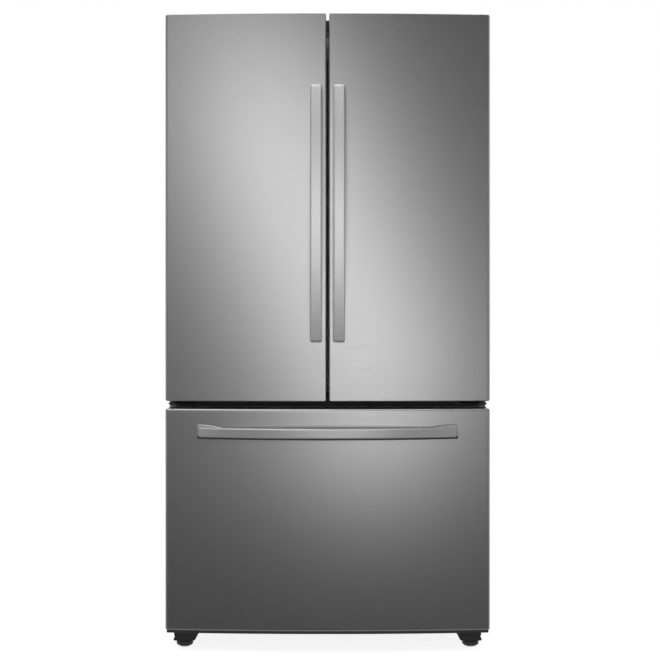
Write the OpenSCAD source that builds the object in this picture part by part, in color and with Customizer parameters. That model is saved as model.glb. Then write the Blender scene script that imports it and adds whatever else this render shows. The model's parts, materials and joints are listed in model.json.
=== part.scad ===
// French door refrigerator: two hinged doors over a pull-out freezer drawer.
// Frame: +Z up, -Y is the front, origin on the floor at the centre of the footprint.
// The right-hand sub-parts are drawn at +X and mirrored for the left.

/* [Overall] */
// Width over the doors
total_w = 908; // [880:1:930]
// Depth from the handles' front to the rear panel
total_d = 920; // [900:1:940]
// Height of the doors' top edge above the floor
door_top = 1778; // [1770:1:1790]
// Height of the doors' bottom edge
door_bottom = 697; // [695:1:700]
// Height of the freezer drawer's top edge
drawer_top = 677; // [674:1:679]
// Height of the freezer drawer's bottom edge
drawer_bottom = 57; // [55:1:60]

/* [Doors] */
// Gap between the two doors
door_gap = 8; // [7:1:12]
// How far the middle of the fronts stands proud of their outer edges
front_bow = 20; // [16:1:24]
// Radius of the skins' rolled side edges
edge_r = 8; // [6:1:10]
// Thickness of the steel sheet
sheet_t = 1; // [0.8:0.1:1.5]
// Distance from the fronts' middle to the cabinet's front face
door_depth = 122; // [118:1:124]
// Height of a door bin
bin_h = 118; // [100:1:130]

/* [Handles] */
// Width of the handle bars
handle_w = 31; // [28:1:34]
// How far the handles stand out from the doors
handle_reach = 63; // [58:1:66]
// Thickness of the handle bars
handle_t = 14; // [10:1:16]
// Lowest point of the door handles
handle_z0 = 861; // [840:1:900]
// Highest point of the door handles
handle_z1 = 1577; // [1500:1:1620]
// Half the length of the drawer handle
drawer_handle_x = 363; // [340:1:380]
// Middle height of the drawer handle
drawer_handle_z = 610; // [600:1:620]

/* [Hidden] */
$fn = 48;

// Colours
steel_color = [0.66, 0.66, 0.67];
paint_color = [0.42, 0.43, 0.45];
dark_color = [0.08, 0.08, 0.09];
white_color = [0.93, 0.94, 0.95];
clear_color = [0.78, 0.86, 0.90];
gasket_color = [0.55, 0.56, 0.58];
zinc_color = [0.62, 0.64, 0.66];

// Main planes, front to back
door_x = total_w / 2;
y_back = total_d / 2;
y_door = -total_d / 2 + handle_reach;      // middle of the fronts
y_face = y_door + door_depth;              // cabinet's front face
gasket_t = 12;
y_door_back = y_face - gasket_t;           // back plane of the door panels
gasket_clear = 0.3;
panel_t = 12;                              // moulded rim of the door liners
y_skin_end = y_door_back - panel_t;
bow_r = (door_x * door_x + front_bow * front_bow) / (2 * front_bow);
bow_cy = y_door + bow_r;                   // centre of the fronts' arc

// Cabinet
cab_x = door_x - 2;
cab_bottom = 40;
cab_top = 1750;
lip_w = 20;
wall_t = 2;                                // moulded liner walls
fridge_x = door_x - 50;
fridge_floor = 742;
fridge_ceiling = 1700;
fridge_back = y_back - 70;
freezer_x = door_x - 58;
freezer_floor = 118;
sill_z = freezer_floor - 22;               // top of the base under the freezer's opening
freezer_ceiling = 638;
step_y = y_back - 235;                     // the freezer floor steps up behind here
step_z = 345;
room_y = y_back - 225;                     // machine compartment
room_floor = 62;
room_top = 335;

// Hinges
pivot_x = door_x - 20;
pivot_y = y_door + 67;
pin_r = 6;
run_gap = 0.05;                            // radial clearance of a running fit
top_arm_z = door_top + 1.2;
arm_t = 3;
mid_plate_z = 686;
mid_plate_t = 4;
hinge_plate_r = 16;                        // rounded end of the hinge plates
hinge_cover_x = door_x - 58;
hinge_cover_y = -150;                      // rear end of the covers on top

// Shelves
shelf_upper_z = 1396;
shelf_lower_z = 1146;
crisper_cover_z = 942;
shelf_y0 = y_face + 125;
shelf_y1 = y_back - 110;
glass_t = 6;
ledge_y0 = -140;                           // moulded ledges under the shelves
ledge_y1 = 340;
tray_ledge_z = 478;                        // ledge of the upper freezer drawer

// Doors
door_x0 = door_gap / 2;
dike_x0 = 47;                              // raised inner wall of the door liners
dike_x1 = door_x - 62;
dike_w = 16;
dike_y = -240;
dike_z0 = 752;
dike_z1 = 1690;
cap_t = 9;
gasket_out = door_x - pivot_x;           // outer edge in line with the hinge pins
gasket_x0 = 1.5;
gasket_w = 18;
gasket_z0 = 713;
gasket_z1 = 1735;
bin_x0 = dike_x0 + dike_w + 6;
bin_x1 = dike_x1 - dike_w - 6;
bin_y0 = y_door_back + 4;
bin_y1 = y_door_back + 115;
bin_t = 3;
bin_levels = [970, 1200, 1430];            // lower, middle, upper

// Handles
handle_x = 32;
handle_bow = 36;
drawer_handle_bow = 55;
bevel = 4;

// Mullion
mul_x = -36;
mul_y = y_face + 9.5;
mul_len = 72;
mul_t = 18;
mul_z0 = 756;
mul_z1 = 1686;
mul_pin_r = 3;
knuckle_r = 6;
lug_h = 12;
lug_levels = [800, 1210, 1620];

// Drawer
drawer_gasket_z0 = 84;
drawer_gasket_z1 = 663;
drawer_dike_x = door_x - 82;
drawer_cap_z0 = 50;
slide_z = 238;
slide_h = 44;
slide_y0 = y_face + 13;
slide_len = 470;
slide_sheet_t = 1.6;
slide_x = freezer_x - 0.2;                 // outer face of the fixed rails
member_x = slide_x - 4.6;                  // outer face of the drawer's members
flange_x = slide_x - 13.2;                 // inner face of their flanges

// Feet
leg_x = door_x - 49;
leg_y = y_face - 37;
stem_r = 5;
roller_x = door_x - 74;
roller_y = y_back - 65;
roller_r = 20;
axle_r = 4;

// Fans
cond_fan = [-102, y_back - 110, 160];
evap_fan = [0, fridge_back - 38, 590];
fan_axle_r = 3;

// --- helpers ---------------------------------------------------------------

// A box from its two corners
module block(a, b) {
    translate(a) cube(b - a);
}

// A box open at the top
module tray(a, b, t, bottom_t) {
    difference() {
        block(a, b);
        block([a.x + t, a.y + t, a.z + bottom_t], [b.x - t, b.y - t, b.z + 1]);
    }
}

// The children at +X, or mirrored to -X when side is -1
module on_side(side) {
    if (side < 0) mirror([1, 0, 0]) children();
    else children();
}

module both_sides() {
    on_side(1) children();
    on_side(-1) children();
}

function arc(c, r, a0, a1, n) =
    [for (i = [0 : n]) [c.x + r * cos(a0 + (a1 - a0) * i / n), c.y + r * sin(a0 + (a1 - a0) * i / n)]];

// Y of the bowed fronts at x, standing off by gap
function front_y(x, gap = 0) = bow_cy - sqrt(pow(bow_r + gap, 2) - x * x);

// Angle on the bow at which the corner roll near x meets it
function roll_angle(x) = asin(x / (bow_r - edge_r));
function roll_center(x) = [x, bow_cy - sqrt(pow(bow_r - edge_r, 2) - x * x)];

// Plan of a door front from x0 to x1 with rolled edges, all faces moved in by inset
function front_plan(x0, x1, inset, back) =
    let (
        r = edge_r - inset,
        a1 = roll_angle(x1 - edge_r),
        a0 = roll_angle(x0 + edge_r),
        n = 4 + ceil((x1 - x0) / 40)
    )
    concat(
        [[x1 - inset, back]],
        arc(roll_center(x1 - edge_r), r, 0, a1 - 90, 5),
        [for (i = [1 : n - 1])
            let (a = a1 + (a0 - a1) * i / n)
            [(bow_r - inset) * sin(a), bow_cy - (bow_r - inset) * cos(a)]],
        arc(roll_center(x0 + edge_r), r, a0 - 90, -180, 5),
        [[x0 + inset, back]]
    );

module slab(z0, z1) {
    translate([0, 0, z0]) linear_extrude(z1 - z0) children();
}

// --- cabinet ---------------------------------------------------------------

module cabinet_shell() {
    y_rear = y_back - sheet_t;
    color(paint_color) {
        both_sides() {
            block([cab_x - sheet_t, y_face, cab_bottom], [cab_x, y_rear, cab_top]);
            block([cab_x - lip_w, y_face, cab_bottom], [cab_x, y_face + sheet_t, cab_top]);
        }
        block([-cab_x, y_face, cab_top - sheet_t], [cab_x, y_rear, cab_top]);
        block([-cab_x, y_face, cab_top - lip_w], [cab_x, y_face + sheet_t, cab_top]);
    }
}

module rear_panel() {
    rib_t = 1;
    rib_w = 60;
    rib_pitch = 200;
    rib_z0 = 420;
    rib_z1 = 1660;
    color(zinc_color) {
        block([2 - cab_x, y_back - sheet_t - rib_t, room_top], [cab_x - 2, y_back - rib_t, cab_top - 2]);
        for (i = [-1.5 : 1 : 1.5])
            translate([rib_pitch * i, 0, 0])
                block([-rib_w / 2, y_back - rib_t, rib_z0], [rib_w / 2, y_back, rib_z1]);
    }
}

module fridge_liner() {
    ledge_h = 8;
    ledge_w = 7;
    color(white_color) {
        difference() {
            block([-fridge_x - wall_t, y_face + wall_t, fridge_floor - wall_t],
                  [fridge_x + wall_t, fridge_back + wall_t, fridge_ceiling + wall_t]);
            block([-fridge_x, y_face - 1, fridge_floor], [fridge_x, fridge_back, fridge_ceiling]);
        }
        difference() {
            block([lip_w - cab_x, y_face, fridge_floor - wall_t],
                  [cab_x - lip_w, y_face + wall_t, cab_top - lip_w]);
            block([-fridge_x, y_face - 1, fridge_floor],
                  [fridge_x, y_face + wall_t + 1, fridge_ceiling]);
        }
        for (z = [shelf_upper_z, shelf_lower_z, crisper_cover_z])
            both_sides()
                block([fridge_x - ledge_w, ledge_y0, z - ledge_h], [fridge_x + 1, ledge_y1, z]);
    }
}

module freezer_liner() {
    ledge_h = 8;
    ledge_w = 12;
    color(white_color) {
        difference() {
            block([-freezer_x - wall_t, y_face + wall_t, freezer_floor - wall_t],
                  [freezer_x + wall_t, fridge_back + wall_t, freezer_ceiling + wall_t]);
            block([-freezer_x, y_face - 1, freezer_floor], [freezer_x, step_y, freezer_ceiling]);
            block([-freezer_x, step_y - 1, step_z], [freezer_x, fridge_back, freezer_ceiling]);
            block([-freezer_x - 3, step_y + wall_t, freezer_floor - 3],
                  [freezer_x + 3, fridge_back + 3, step_z - wall_t]);
        }
        difference() {
            block([lip_w - cab_x, y_face, sill_z],
                  [cab_x - lip_w, y_face + wall_t, freezer_ceiling + wall_t]);
            block([-freezer_x, y_face - 1, freezer_floor],
                  [freezer_x, y_face + wall_t + 1, freezer_ceiling]);
        }
        both_sides()
            block([freezer_x - ledge_w, y_face + 45, tray_ledge_z],
                  [freezer_x + 1, step_y - 10, tray_ledge_z + ledge_h]);
    }
}

module center_rail() {
    z0 = freezer_ceiling + wall_t;
    z1 = fridge_floor - wall_t;
    wall = 1.5;
    depth = 38;
    color(dark_color) difference() {
        block([lip_w - cab_x, y_face, z0], [cab_x - lip_w, y_face + depth, z1]);
        block([-cab_x, y_face + wall, z0 + wall], [cab_x, y_face + depth + 1, z1 - wall]);
    }
}

module base_frame() {
    edge = cab_x - sheet_t;
    rear = y_back - 5;
    plate = 2;
    ear_gap = 15;                          // from the roller's middle to each ear
    ear_half = 20;
    ear_z = 10;
    color(paint_color) {
        block([-edge, y_face + plate, cab_bottom], [edge, room_y, cab_bottom + plate]);
        block([lip_w - cab_x, y_face, cab_bottom], [cab_x - lip_w, y_face + plate, sill_z]);
        block([-edge, room_y - plate, cab_bottom], [edge, room_y, room_top]);
        block([-edge, room_y - plate, room_top - plate], [edge, rear, room_top]);
        block([-edge, room_y - plate, room_floor], [edge, rear, room_floor + plate]);
        both_sides() difference() {
            for (x = [roller_x - ear_gap, roller_x + ear_gap])
                block([x - plate / 2, roller_y - ear_half, ear_z],
                      [x + plate / 2, roller_y + ear_half, room_floor + 1]);
            translate([roller_x - ear_half, roller_y, roller_r]) rotate([0, 90, 0])
                cylinder(r = axle_r + run_gap, h = 2 * ear_half);
        }
    }
}

module compressor_cover() {
    slot_w = 60;
    slot_h = 5;
    pitch_x = 80;
    pitch_z = 20;
    sheet = 1.5;
    z0 = room_floor + 4;
    y0 = y_back - 3;
    gland = [405, y0, 100];                // where the mains lead comes out
    color(dark_color) {
        difference() {
            block([4 - cab_x, y0, z0], [cab_x - 4, y0 + sheet, room_top - 3]);
            for (i = [-5 : 4], k = [0 : 8])
                translate([pitch_x * i, y0 - 1, 110 + pitch_z * k]) cube([slot_w, 4, slot_h]);
        }
        translate(gland) rotate([-90, 0, 0]) cylinder(r = 11, h = 3);
    }
}

module compressor() {
    wall = 7;
    can_r = 78;
    can_h = 128;
    dome_r = 46;
    dome_h = 38;
    plate = [190, 156, 4];
    tube_z = 90;
    color(dark_color) translate([230, y_back - 110, room_floor + 8]) {
        difference() {
            union() {
                cylinder(r = can_r, h = can_h);
                translate([0, 0, can_h]) cylinder(r1 = can_r, r2 = dome_r, h = dome_h);
            }
            translate([0, 0, wall]) cylinder(r = can_r - wall, h = can_h - wall);
            translate([0, 0, can_h - 1]) cylinder(r1 = can_r - wall, r2 = dome_r - 6, h = dome_h - 6);
        }
        translate([-plate.x / 2, -plate.y / 2, -3]) cube(plate);
        // rubber feet
        for (x = [-80, 80], y = [-62, 62])
            translate([x, y, -6]) cylinder(r = 12, h = 4);
        // tube stubs
        for (a = [200, 240])
            rotate([0, 0, a]) translate([can_r - 8, 0, tube_z]) rotate([0, 90, 0]) cylinder(r = 5, h = 26);
    }
}

// A finned coil: fins across x, tubes along x, end plates down to z_foot and back to y_foot
module coil(a, b, fins, tube_r, rows_y, rows_z, z_foot, y_foot) {
    for (x = [a.x - 6, b.x + 4])
        block([x, a.y, z_foot], [x + 2, y_foot, b.z]);
    pitch = (b.x - a.x - 1) / (fins - 1);
    for (i = [0 : fins - 1])
        block([a.x + pitch * i, a.y, a.z], [a.x + pitch * i + 1, b.y, b.z]);
    for (y = rows_y, z = rows_z)
        translate([a.x - 12, y, z]) rotate([0, 90, 0]) cylinder(r = tube_r, h = b.x - a.x + 24);
}

module condenser() {
    color(dark_color)
        coil([-400, 285, 92], [-150, 415, 232], 18, 4, [310, 350, 390], [115, 162, 209],
             room_floor + 4, 415);
}

module fan_frame() {
    half = 75;
    plate = 8;
    motor_x = 20;
    color(dark_color) translate(cond_fan) {
        difference() {
            block([-plate, -half, -half], [0, half, half]);
            translate([-plate - 1, 0, 0]) rotate([0, 90, 0]) cylinder(r = 66, h = plate + 2);
        }
        translate([motor_x, 0, 0]) rotate([0, 90, 0]) cylinder(r = 24, h = 28);
        translate([-14, 0, 0]) rotate([0, 90, 0]) cylinder(r = fan_axle_r, h = motor_x + 15);
        block([motor_x, -half, -4], [motor_x + 4, half, 4]);
        for (y = [-half, half - 8])
            block([-1, y, -4], [motor_x + 4, y + 8, 4]);
        for (y = [-half, half - 8])
            block([-plate, y, room_floor + 2 - cond_fan.z], [0, y + 8, -half + 1]);
    }
}

// A bladed rotor along +Z with a running bore
module rotor(hub_r, tip_r, h, blades) {
    difference() {
        union() {
            cylinder(r = hub_r, h = h);
            for (i = [0 : blades - 1])
                rotate([0, 0, 360 * i / blades]) translate([hub_r - 2, 0, h / 2]) rotate([35, 0, 0])
                    translate([0, -hub_r * 0.55, -1]) cube([tip_r - hub_r, hub_r * 1.1, 2]);
        }
        translate([0, 0, -1]) cylinder(r = fan_axle_r + run_gap, h = h + 2);
    }
}

module condenser_fan() {
    color(dark_color) translate(cond_fan - [11, 0, 0]) rotate([0, 90, 0]) rotor(16, 60, 22, 5);
}

module drain_pan() {
    color(dark_color) tray([-415, 275, room_floor + 2], [-130, 425, 84], 2, 2);
}

module evaporator() {
    color(zinc_color)
        coil([-320, 346, 375], [320, 384, 535], 22, 4, [356, 374], [400, 455, 510], 375, fridge_back);
}

module evaporator_cover() {
    y0 = 330;
    edge = freezer_x - 4;
    color(white_color) {
        difference() {
            block([-edge, y0, step_z + 2], [edge, y0 + 2, freezer_ceiling - 2]);
            for (x = [-34 : 8 : 30])
                block([x, y0 - 1, evap_fan.z - 34], [x + 4, y0 + 3, evap_fan.z + 34]);
            for (z = [380 : 16 : 444])
                block([-260, y0 - 1, z], [260, y0 + 3, z + 6]);
        }
        both_sides() block([edge - 2, y0, step_z + 2], [edge, fridge_back, freezer_ceiling - 2]);
        // fan motor on its bracket
        translate([0, 364, evap_fan.z]) rotate([-90, 0, 0]) cylinder(r = 14, h = 22);
        translate([0, 346, evap_fan.z]) rotate([-90, 0, 0]) cylinder(r = fan_axle_r, h = 20);
        block([-54, 370, evap_fan.z - 4], [54, 374, evap_fan.z + 4]);
        both_sides() block([48, y0, evap_fan.z - 4], [54, 374, evap_fan.z + 4]);
    }
}

module evaporator_fan() {
    color(dark_color) translate([evap_fan.x, 347, evap_fan.z]) rotate([-90, 0, 0]) rotor(12, 38, 14, 5);
}

module air_duct_cover() {
    depth = 18;
    y0 = fridge_back - depth;
    color(white_color) difference() {
        block([-150, y0, 965], [150, fridge_back, 1688]);
        block([-148, y0 + 2, 967], [148, fridge_back + 1, 1686]);
        for (z = [1040, 1300, 1560], x = [-120, 60])
            for (i = [0 : 2])
                block([x, y0 - 1, z + 14 * i], [x + 60, y0 + 3, z + 14 * i + 6]);
    }
}

module ceiling_light() {
    color("white") block([-150, -125, fridge_ceiling - 8], [150, -45, fridge_ceiling]);
}

module top_cover() {
    top = door_top + 5;
    color(dark_color) difference() {
        block([4 - hinge_cover_x, y_face + 1, cab_top], [hinge_cover_x - 4, hinge_cover_y, top]);
        block([6 - hinge_cover_x, y_face + 3, cab_top - 1],
              [hinge_cover_x - 6, hinge_cover_y - 2, top - 2]);
    }
}

module top_hinge(side) {
    plate = 4;
    rise_y = y_face + 16;                  // where the bracket steps up to its arm
    color(dark_color) on_side(side) {
        slab(top_arm_z, top_arm_z + arm_t) {
            translate([pivot_x, pivot_y]) circle(r = hinge_plate_r);
            translate([pivot_x - hinge_plate_r, pivot_y])
                square([2 * hinge_plate_r, rise_y + plate - pivot_y]);
        }
        block([pivot_x - hinge_plate_r, rise_y, cab_top],
              [pivot_x + hinge_plate_r, rise_y + plate, top_arm_z + arm_t]);
        block([pivot_x - 2 * hinge_plate_r, rise_y, cab_top],
              [pivot_x + hinge_plate_r, hinge_cover_y - 30, cab_top + plate]);
        translate([pivot_x, pivot_y, door_top - cap_t + 1]) cylinder(r = pin_r, h = cap_t + 1.2);
    }
}

module hinge_covers() {
    wall = 1.5;
    nose_r = 19;
    top = top_arm_z + arm_t + 0.1 + wall;
    color(dark_color) both_sides() {
        difference() {
            block([hinge_cover_x, y_face + 1, cab_top], [cab_x, hinge_cover_y, top]);
            block([hinge_cover_x + wall, y_face, cab_top - 1],
                  [cab_x - wall, hinge_cover_y - wall, top - wall]);
        }
        slab(top - wall, top) {
            translate([pivot_x, pivot_y]) circle(r = nose_r);
            translate([pivot_x - nose_r, pivot_y]) square([2 * nose_r, y_face + 3 - pivot_y]);
        }
    }
}

module mid_hinge(side) {
    color(dark_color) on_side(side) {
        slab(mid_plate_z, mid_plate_z + mid_plate_t) {
            translate([pivot_x, pivot_y]) circle(r = hinge_plate_r);
            polygon([[pivot_x - hinge_plate_r, pivot_y], [pivot_x + hinge_plate_r, pivot_y],
                     [pivot_x + hinge_plate_r, y_face],
                     [pivot_x - 56, y_face], [pivot_x - 56, y_face - 8]]);
        }
        // flange screwed to the cabinet's front
        block([pivot_x - 66, y_face - 3, mid_plate_z - 5], [pivot_x + 18, y_face, mid_plate_z + 11]);
        translate([pivot_x, pivot_y, mid_plate_z])
            cylinder(r = pin_r, h = door_bottom + cap_t - mid_plate_z);
        translate([pivot_x, pivot_y, mid_plate_z]) cylinder(r = 10, h = door_bottom - mid_plate_z);
    }
}

module leg_brackets() {
    front_top = 46;
    color(dark_color) both_sides() difference() {
        union() {
            translate([0, y_face, 0]) rotate([90, 0, 0]) linear_extrude(65)
                polygon([[361, front_top], [426, front_top], [435, 23], [432, 20], [376, 20], [373, 23]]);
            block([376, y_face, 20], [440, -230, cab_bottom]);
        }
        translate([leg_x, leg_y, 19]) cylinder(r = stem_r + run_gap, h = front_top);
    }
}

module leg(side) {
    color(dark_color) on_side(side) translate([leg_x, leg_y, 0]) {
        rotate_extrude() polygon([[0, 0], [14, 0], [23.5, 6], [23.5, 16], [20, 19], [0, 19]]);
        cylinder(r = stem_r, h = 44);
    }
}

module rear_rollers() {
    color(dark_color) both_sides() translate([roller_x - 12, roller_y, roller_r]) rotate([0, 90, 0]) {
        cylinder(r = roller_r, h = 24);
        translate([0, 0, -6]) cylinder(r = axle_r, h = 36);
    }
}

// --- fridge interior -------------------------------------------------------

module shelf(x0, x1, z) {
    color(clear_color) {
        block([x0, shelf_y0, z], [x1, shelf_y1, z + glass_t]);
        block([x0, shelf_y0 - 6, z - 12], [x1, shelf_y0 + 6, z + glass_t + 3]);
        block([x0, shelf_y1 - 8, z - 6], [x1, shelf_y1, z + glass_t + 6]);
    }
}

module crisper_cover() {
    z = crisper_cover_z;
    edge = fridge_x - 3;
    color(clear_color) {
        shelf(-edge, edge, z);
        // divider between the drawers
        block([-4, shelf_y0 + 12, fridge_floor], [4, ledge_y1, z + 1]);
    }
}

module crisper(side) {
    front_t = 8;
    z0 = fridge_floor + 6;
    z1 = crisper_cover_z - 17;
    color(clear_color) on_side(side) {
        tray([8, ledge_y0, z0], [fridge_x - 8, ledge_y1 - 10, z1], bin_t, bin_t);
        block([8, ledge_y0, z0], [fridge_x - 8, ledge_y0 + front_t, z1]);
    }
}

// --- doors -----------------------------------------------------------------

module skin(x0, x1, z0, z1) {
    slab(z0, z1) difference() {
        polygon(front_plan(x0, x1, 0, y_skin_end));
        polygon(front_plan(x0, x1, sheet_t, y_skin_end + 1));
    }
}

// End cap of a front, filling the skin's open end
module end_cap(x0, x1, z0, z1) {
    slab(z0, z1) polygon(front_plan(x0, x1, sheet_t, y_skin_end));
}

module ring(x0, x1, z0, z1, w, y0, y1) {
    difference() {
        block([x0, y0, z0], [x1, y1, z1]);
        block([x0 + w, y0 - 1, z0 + w], [x1 - w, y1 + 1, z1 - w]);
    }
}

module door_skin(side) {
    color(steel_color) on_side(side) skin(door_x0, door_x, door_bottom, door_top);
}

module door_caps(side) {
    color(dark_color) on_side(side) difference() {
        union() {
            end_cap(door_x0, door_x, door_bottom + 0.5, door_bottom + cap_t);
            end_cap(door_x0, door_x, door_top - cap_t, door_top - 0.5);
        }
        translate([pivot_x, pivot_y, door_bottom - 1]) cylinder(r = pin_r + run_gap, h = door_top);
        translate([pivot_x, pivot_y, door_bottom - 1]) cylinder(r = 11, h = 2);
    }
}

module door_liner(side) {
    color(white_color) {
        on_side(side) {
            block([door_x0 + 0.5, y_skin_end, door_bottom + 0.5],
                  [door_x - 0.5, y_door_back, door_top - 0.5]);
            ring(dike_x0, dike_x1, dike_z0, dike_z1, dike_w, y_door_back - 1, dike_y);
        }
        if (side < 0) mullion_lugs();
    }
}

module mullion_lugs() {
    for (z = lug_levels) difference() {
        union() {
            block([mul_x - 10, y_door_back - 1, z], [mul_x - 2.5, mul_y + 4, z + lug_h]);
            translate([mul_x, mul_y, z]) cylinder(r = knuckle_r, h = lug_h);
        }
        translate([mul_x, mul_y, z - 1]) cylinder(r = mul_pin_r + run_gap, h = lug_h + 2);
    }
}

module mullion() {
    z_pin = lug_h + 0.5;
    color(paint_color) {
        // the body lies folded back beside the left door's inner wall
        block([mul_x - mul_t / 2, mul_y + 8, mul_z0], [mul_x + mul_t / 2, mul_y + mul_len, mul_z1]);
        for (z = lug_levels) {
            translate([mul_x, mul_y, z + z_pin]) cylinder(r = knuckle_r, h = lug_h);
            translate([mul_x, mul_y, z]) cylinder(r = mul_pin_r, h = z_pin + 1);
            block([mul_x - knuckle_r, mul_y, z + z_pin], [mul_x + knuckle_r, mul_y + 9, z + z_pin + lug_h]);
        }
    }
}

module door_gasket(side) {
    color(gasket_color) on_side(side)
        ring(gasket_x0, door_x - gasket_out, gasket_z0, gasket_z1, gasket_w,
             y_door_back, y_face - gasket_clear);
}

// Radius of an arc from its half chord and rise
function arc_r(half, rise) = (half * half + rise * rise) / (2 * rise);

// A bowed bar along X with bevelled front edges, its front touching y = 0
module bowed_bar(half, rise, w) {
    r = arc_r(half, rise);
    a = asin(half / r);
    section = [[r - handle_t, -w / 2], [r - bevel, -w / 2], [r, bevel - w / 2], [r, w / 2 - bevel],
               [r - bevel, w / 2], [r - handle_t, w / 2]];
    translate([0, r, 0]) rotate([0, 0, -90 - a]) rotate_extrude(angle = 2 * a, $fn = 256) polygon(section);
}

module door_handle(side) {
    mid = (handle_z0 + handle_z1) / 2;
    half = (handle_z1 - handle_z0) / 2;
    y_bar = y_door - handle_reach;
    post_z = half - 18;
    color(steel_color) on_side(side) {
        translate([handle_x, y_bar, mid]) rotate([0, 90, 0]) bowed_bar(half, handle_bow, handle_w);
        for (s = [-1, 1])
            block([handle_x - 11, y_bar + handle_bow + 4, mid + s * post_z - 12],
                  [handle_x + 11, front_y(handle_x - 11, 0.1), mid + s * post_z + 12]);
    }
}

// One end mount of the drawer handle: it fills the space between bar and skin, and tapers inwards
module drawer_handle_mount() {
    n = 6;
    x0 = drawer_handle_x - 74;
    x1 = drawer_handle_x - 1;
    y_bar = y_door - handle_reach;
    r = arc_r(drawer_handle_x, drawer_handle_bow);
    z0 = drawer_handle_z - handle_w / 2 + 3;
    z1 = drawer_handle_z + handle_w / 2 + 8;
    intersection() {
        slab(z0, z1) polygon(concat(
            [for (i = [0 : n])
                let (x = x0 + (x1 - x0) * i / n)
                [x, y_bar + r - sqrt(pow(r - handle_t + 2, 2) - x * x)]],
            [for (i = [n : -1 : 0])
                let (x = x0 + (x1 - x0) * i / n)
                [x, front_y(x, 0.1)]]
        ));
        rotate([90, 0, 0]) linear_extrude(total_d)
            polygon([[x0, z0 + 8], [x1, z0], [x1, z1], [x1 - 8, z1], [x0, z1 - 9]]);
    }
}

module drawer_handle() {
    y_bar = y_door - handle_reach;
    color(steel_color) {
        translate([0, y_bar, drawer_handle_z]) bowed_bar(drawer_handle_x, drawer_handle_bow, handle_w);
        both_sides() drawer_handle_mount();
    }
}

module door_bin(side, level) {
    z = bin_levels[level];
    color(clear_color) on_side(side)
        tray([bin_x0, bin_y0, z], [bin_x1, bin_y1, z + bin_h], bin_t, bin_t);
}

// --- freezer drawer --------------------------------------------------------

module drawer_skin() {
    color(steel_color) skin(-door_x, door_x, drawer_bottom, drawer_top);
}

module drawer_caps() {
    inset = 4;
    color(dark_color) {
        end_cap(-door_x, door_x, drawer_bottom + 0.5, drawer_bottom + cap_t);
        end_cap(-door_x, door_x, drawer_top - cap_t, drawer_top - 0.5);
        // black strip under the front
        slab(drawer_cap_z0, drawer_bottom + 1)
            polygon(front_plan(inset - door_x, door_x - inset, inset, y_skin_end));
    }
}

module drawer_liner() {
    color(white_color) {
        block([0.5 - door_x, y_skin_end, drawer_bottom + 0.5],
              [door_x - 0.5, y_door_back, drawer_top - 0.5]);
        ring(-drawer_dike_x, drawer_dike_x, 140, 620, dike_w, y_door_back - 1, y_door_back + 26);
    }
}

module drawer_gasket() {
    color(gasket_color)
        ring(gasket_out - door_x, door_x - gasket_out, drawer_gasket_z0, drawer_gasket_z1, gasket_w,
             y_door_back, y_face - gasket_clear);
}

// A channel along Y, open towards the drawer
module channel(x0, x1, y0, z0, h, t) {
    difference() {
        block([x0, y0, z0], [x1, y0 + slide_len, z0 + h]);
        block([x0 - 1, y0 - 1, z0 + t], [x1 - t, y0 + slide_len + 1, z0 + h - t]);
    }
}

module slide_guides() {
    color(zinc_color) both_sides()
        channel(slide_x - 12.6, slide_x, slide_y0, slide_z, slide_h, slide_sheet_t);
}

module slide_carriages() {
    color(zinc_color) both_sides()
        channel(slide_x - 11.8, slide_x - 2.2, slide_y0, slide_z + 2.2, slide_h - 4.4, slide_sheet_t);
}

module drawer_slides() {
    y1 = slide_y0 + slide_len;
    color(zinc_color) both_sides() {
        block([member_x - 11.2, y_door_back, slide_z + 5], [member_x, y1, slide_z + slide_h - 5]);
        block([member_x - 11.2, y_door_back, slide_z + 5], [flange_x, y1, slide_z + slide_h + 2]);
        // bracket on the drawer's inner panel
        block([member_x - 16.2, y_door_back, slide_z - 8], [member_x, slide_y0 - 3, slide_z + slide_h + 8]);
    }
}

module freezer_basket() {
    half = freezer_x - 30;
    y0 = y_face + 19;
    y1 = step_y - 25;
    z_flange = slide_z + slide_h + 2.2;
    color(white_color) {
        tray([-half, y0, 150], [half, y1, 372], bin_t, bin_t);
        // flanges that rest on the slides' members
        both_sides() block([half - 1, y0 + 6, z_flange], [flange_x, y1 - 5, z_flange + 3]);
    }
}

module upper_freezer_drawer() {
    half = freezer_x - 46;
    y0 = y_face + 40;
    y1 = step_y - 35;
    z_flange = tray_ledge_z + 8.5;
    color(white_color) {
        tray([-half, y0, 430], [half, y1, 560], bin_t, bin_t);
        // flanges that slide on the liner's ledges
        both_sides() block([half - 1, y0 + 15, z_flange], [freezer_x - 2, y1 - 10, z_flange + 3]);
    }
}

// --- output ----------------------------------------------------------------

cabinet_shell();
rear_panel();
fridge_liner();
freezer_liner();
center_rail();
base_frame();
compressor_cover();
compressor();
condenser();
fan_frame();
drain_pan();
evaporator();
evaporator_cover();
air_duct_cover();
ceiling_light();
top_cover();
top_hinge(-1);  // top_hinge_left
top_hinge(1);  // top_hinge_right
hinge_covers();
mid_hinge(-1);  // mid_hinge_left
mid_hinge(1);  // mid_hinge_right
leg_brackets();
shelf(3 - fridge_x, -4, shelf_upper_z);  // shelf_upper_left
shelf(4, fridge_x - 3, shelf_upper_z);  // shelf_upper_right
shelf(3 - fridge_x, fridge_x - 3, shelf_lower_z);  // shelf_lower
crisper_cover();
slide_guides();
condenser_fan();
evaporator_fan();
leg(-1);  // leg_left
leg(1);  // leg_right
rear_rollers();
crisper(-1);  // crisper_left
crisper(1);  // crisper_right
door_skin(-1);  // left_door_skin
door_liner(-1);  // left_door_liner
door_caps(-1);  // left_door_caps
door_gasket(-1);  // left_door_gasket
door_handle(-1);  // left_handle
door_bin(-1, 2);  // left_bin_upper
door_bin(-1, 1);  // left_bin_middle
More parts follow.
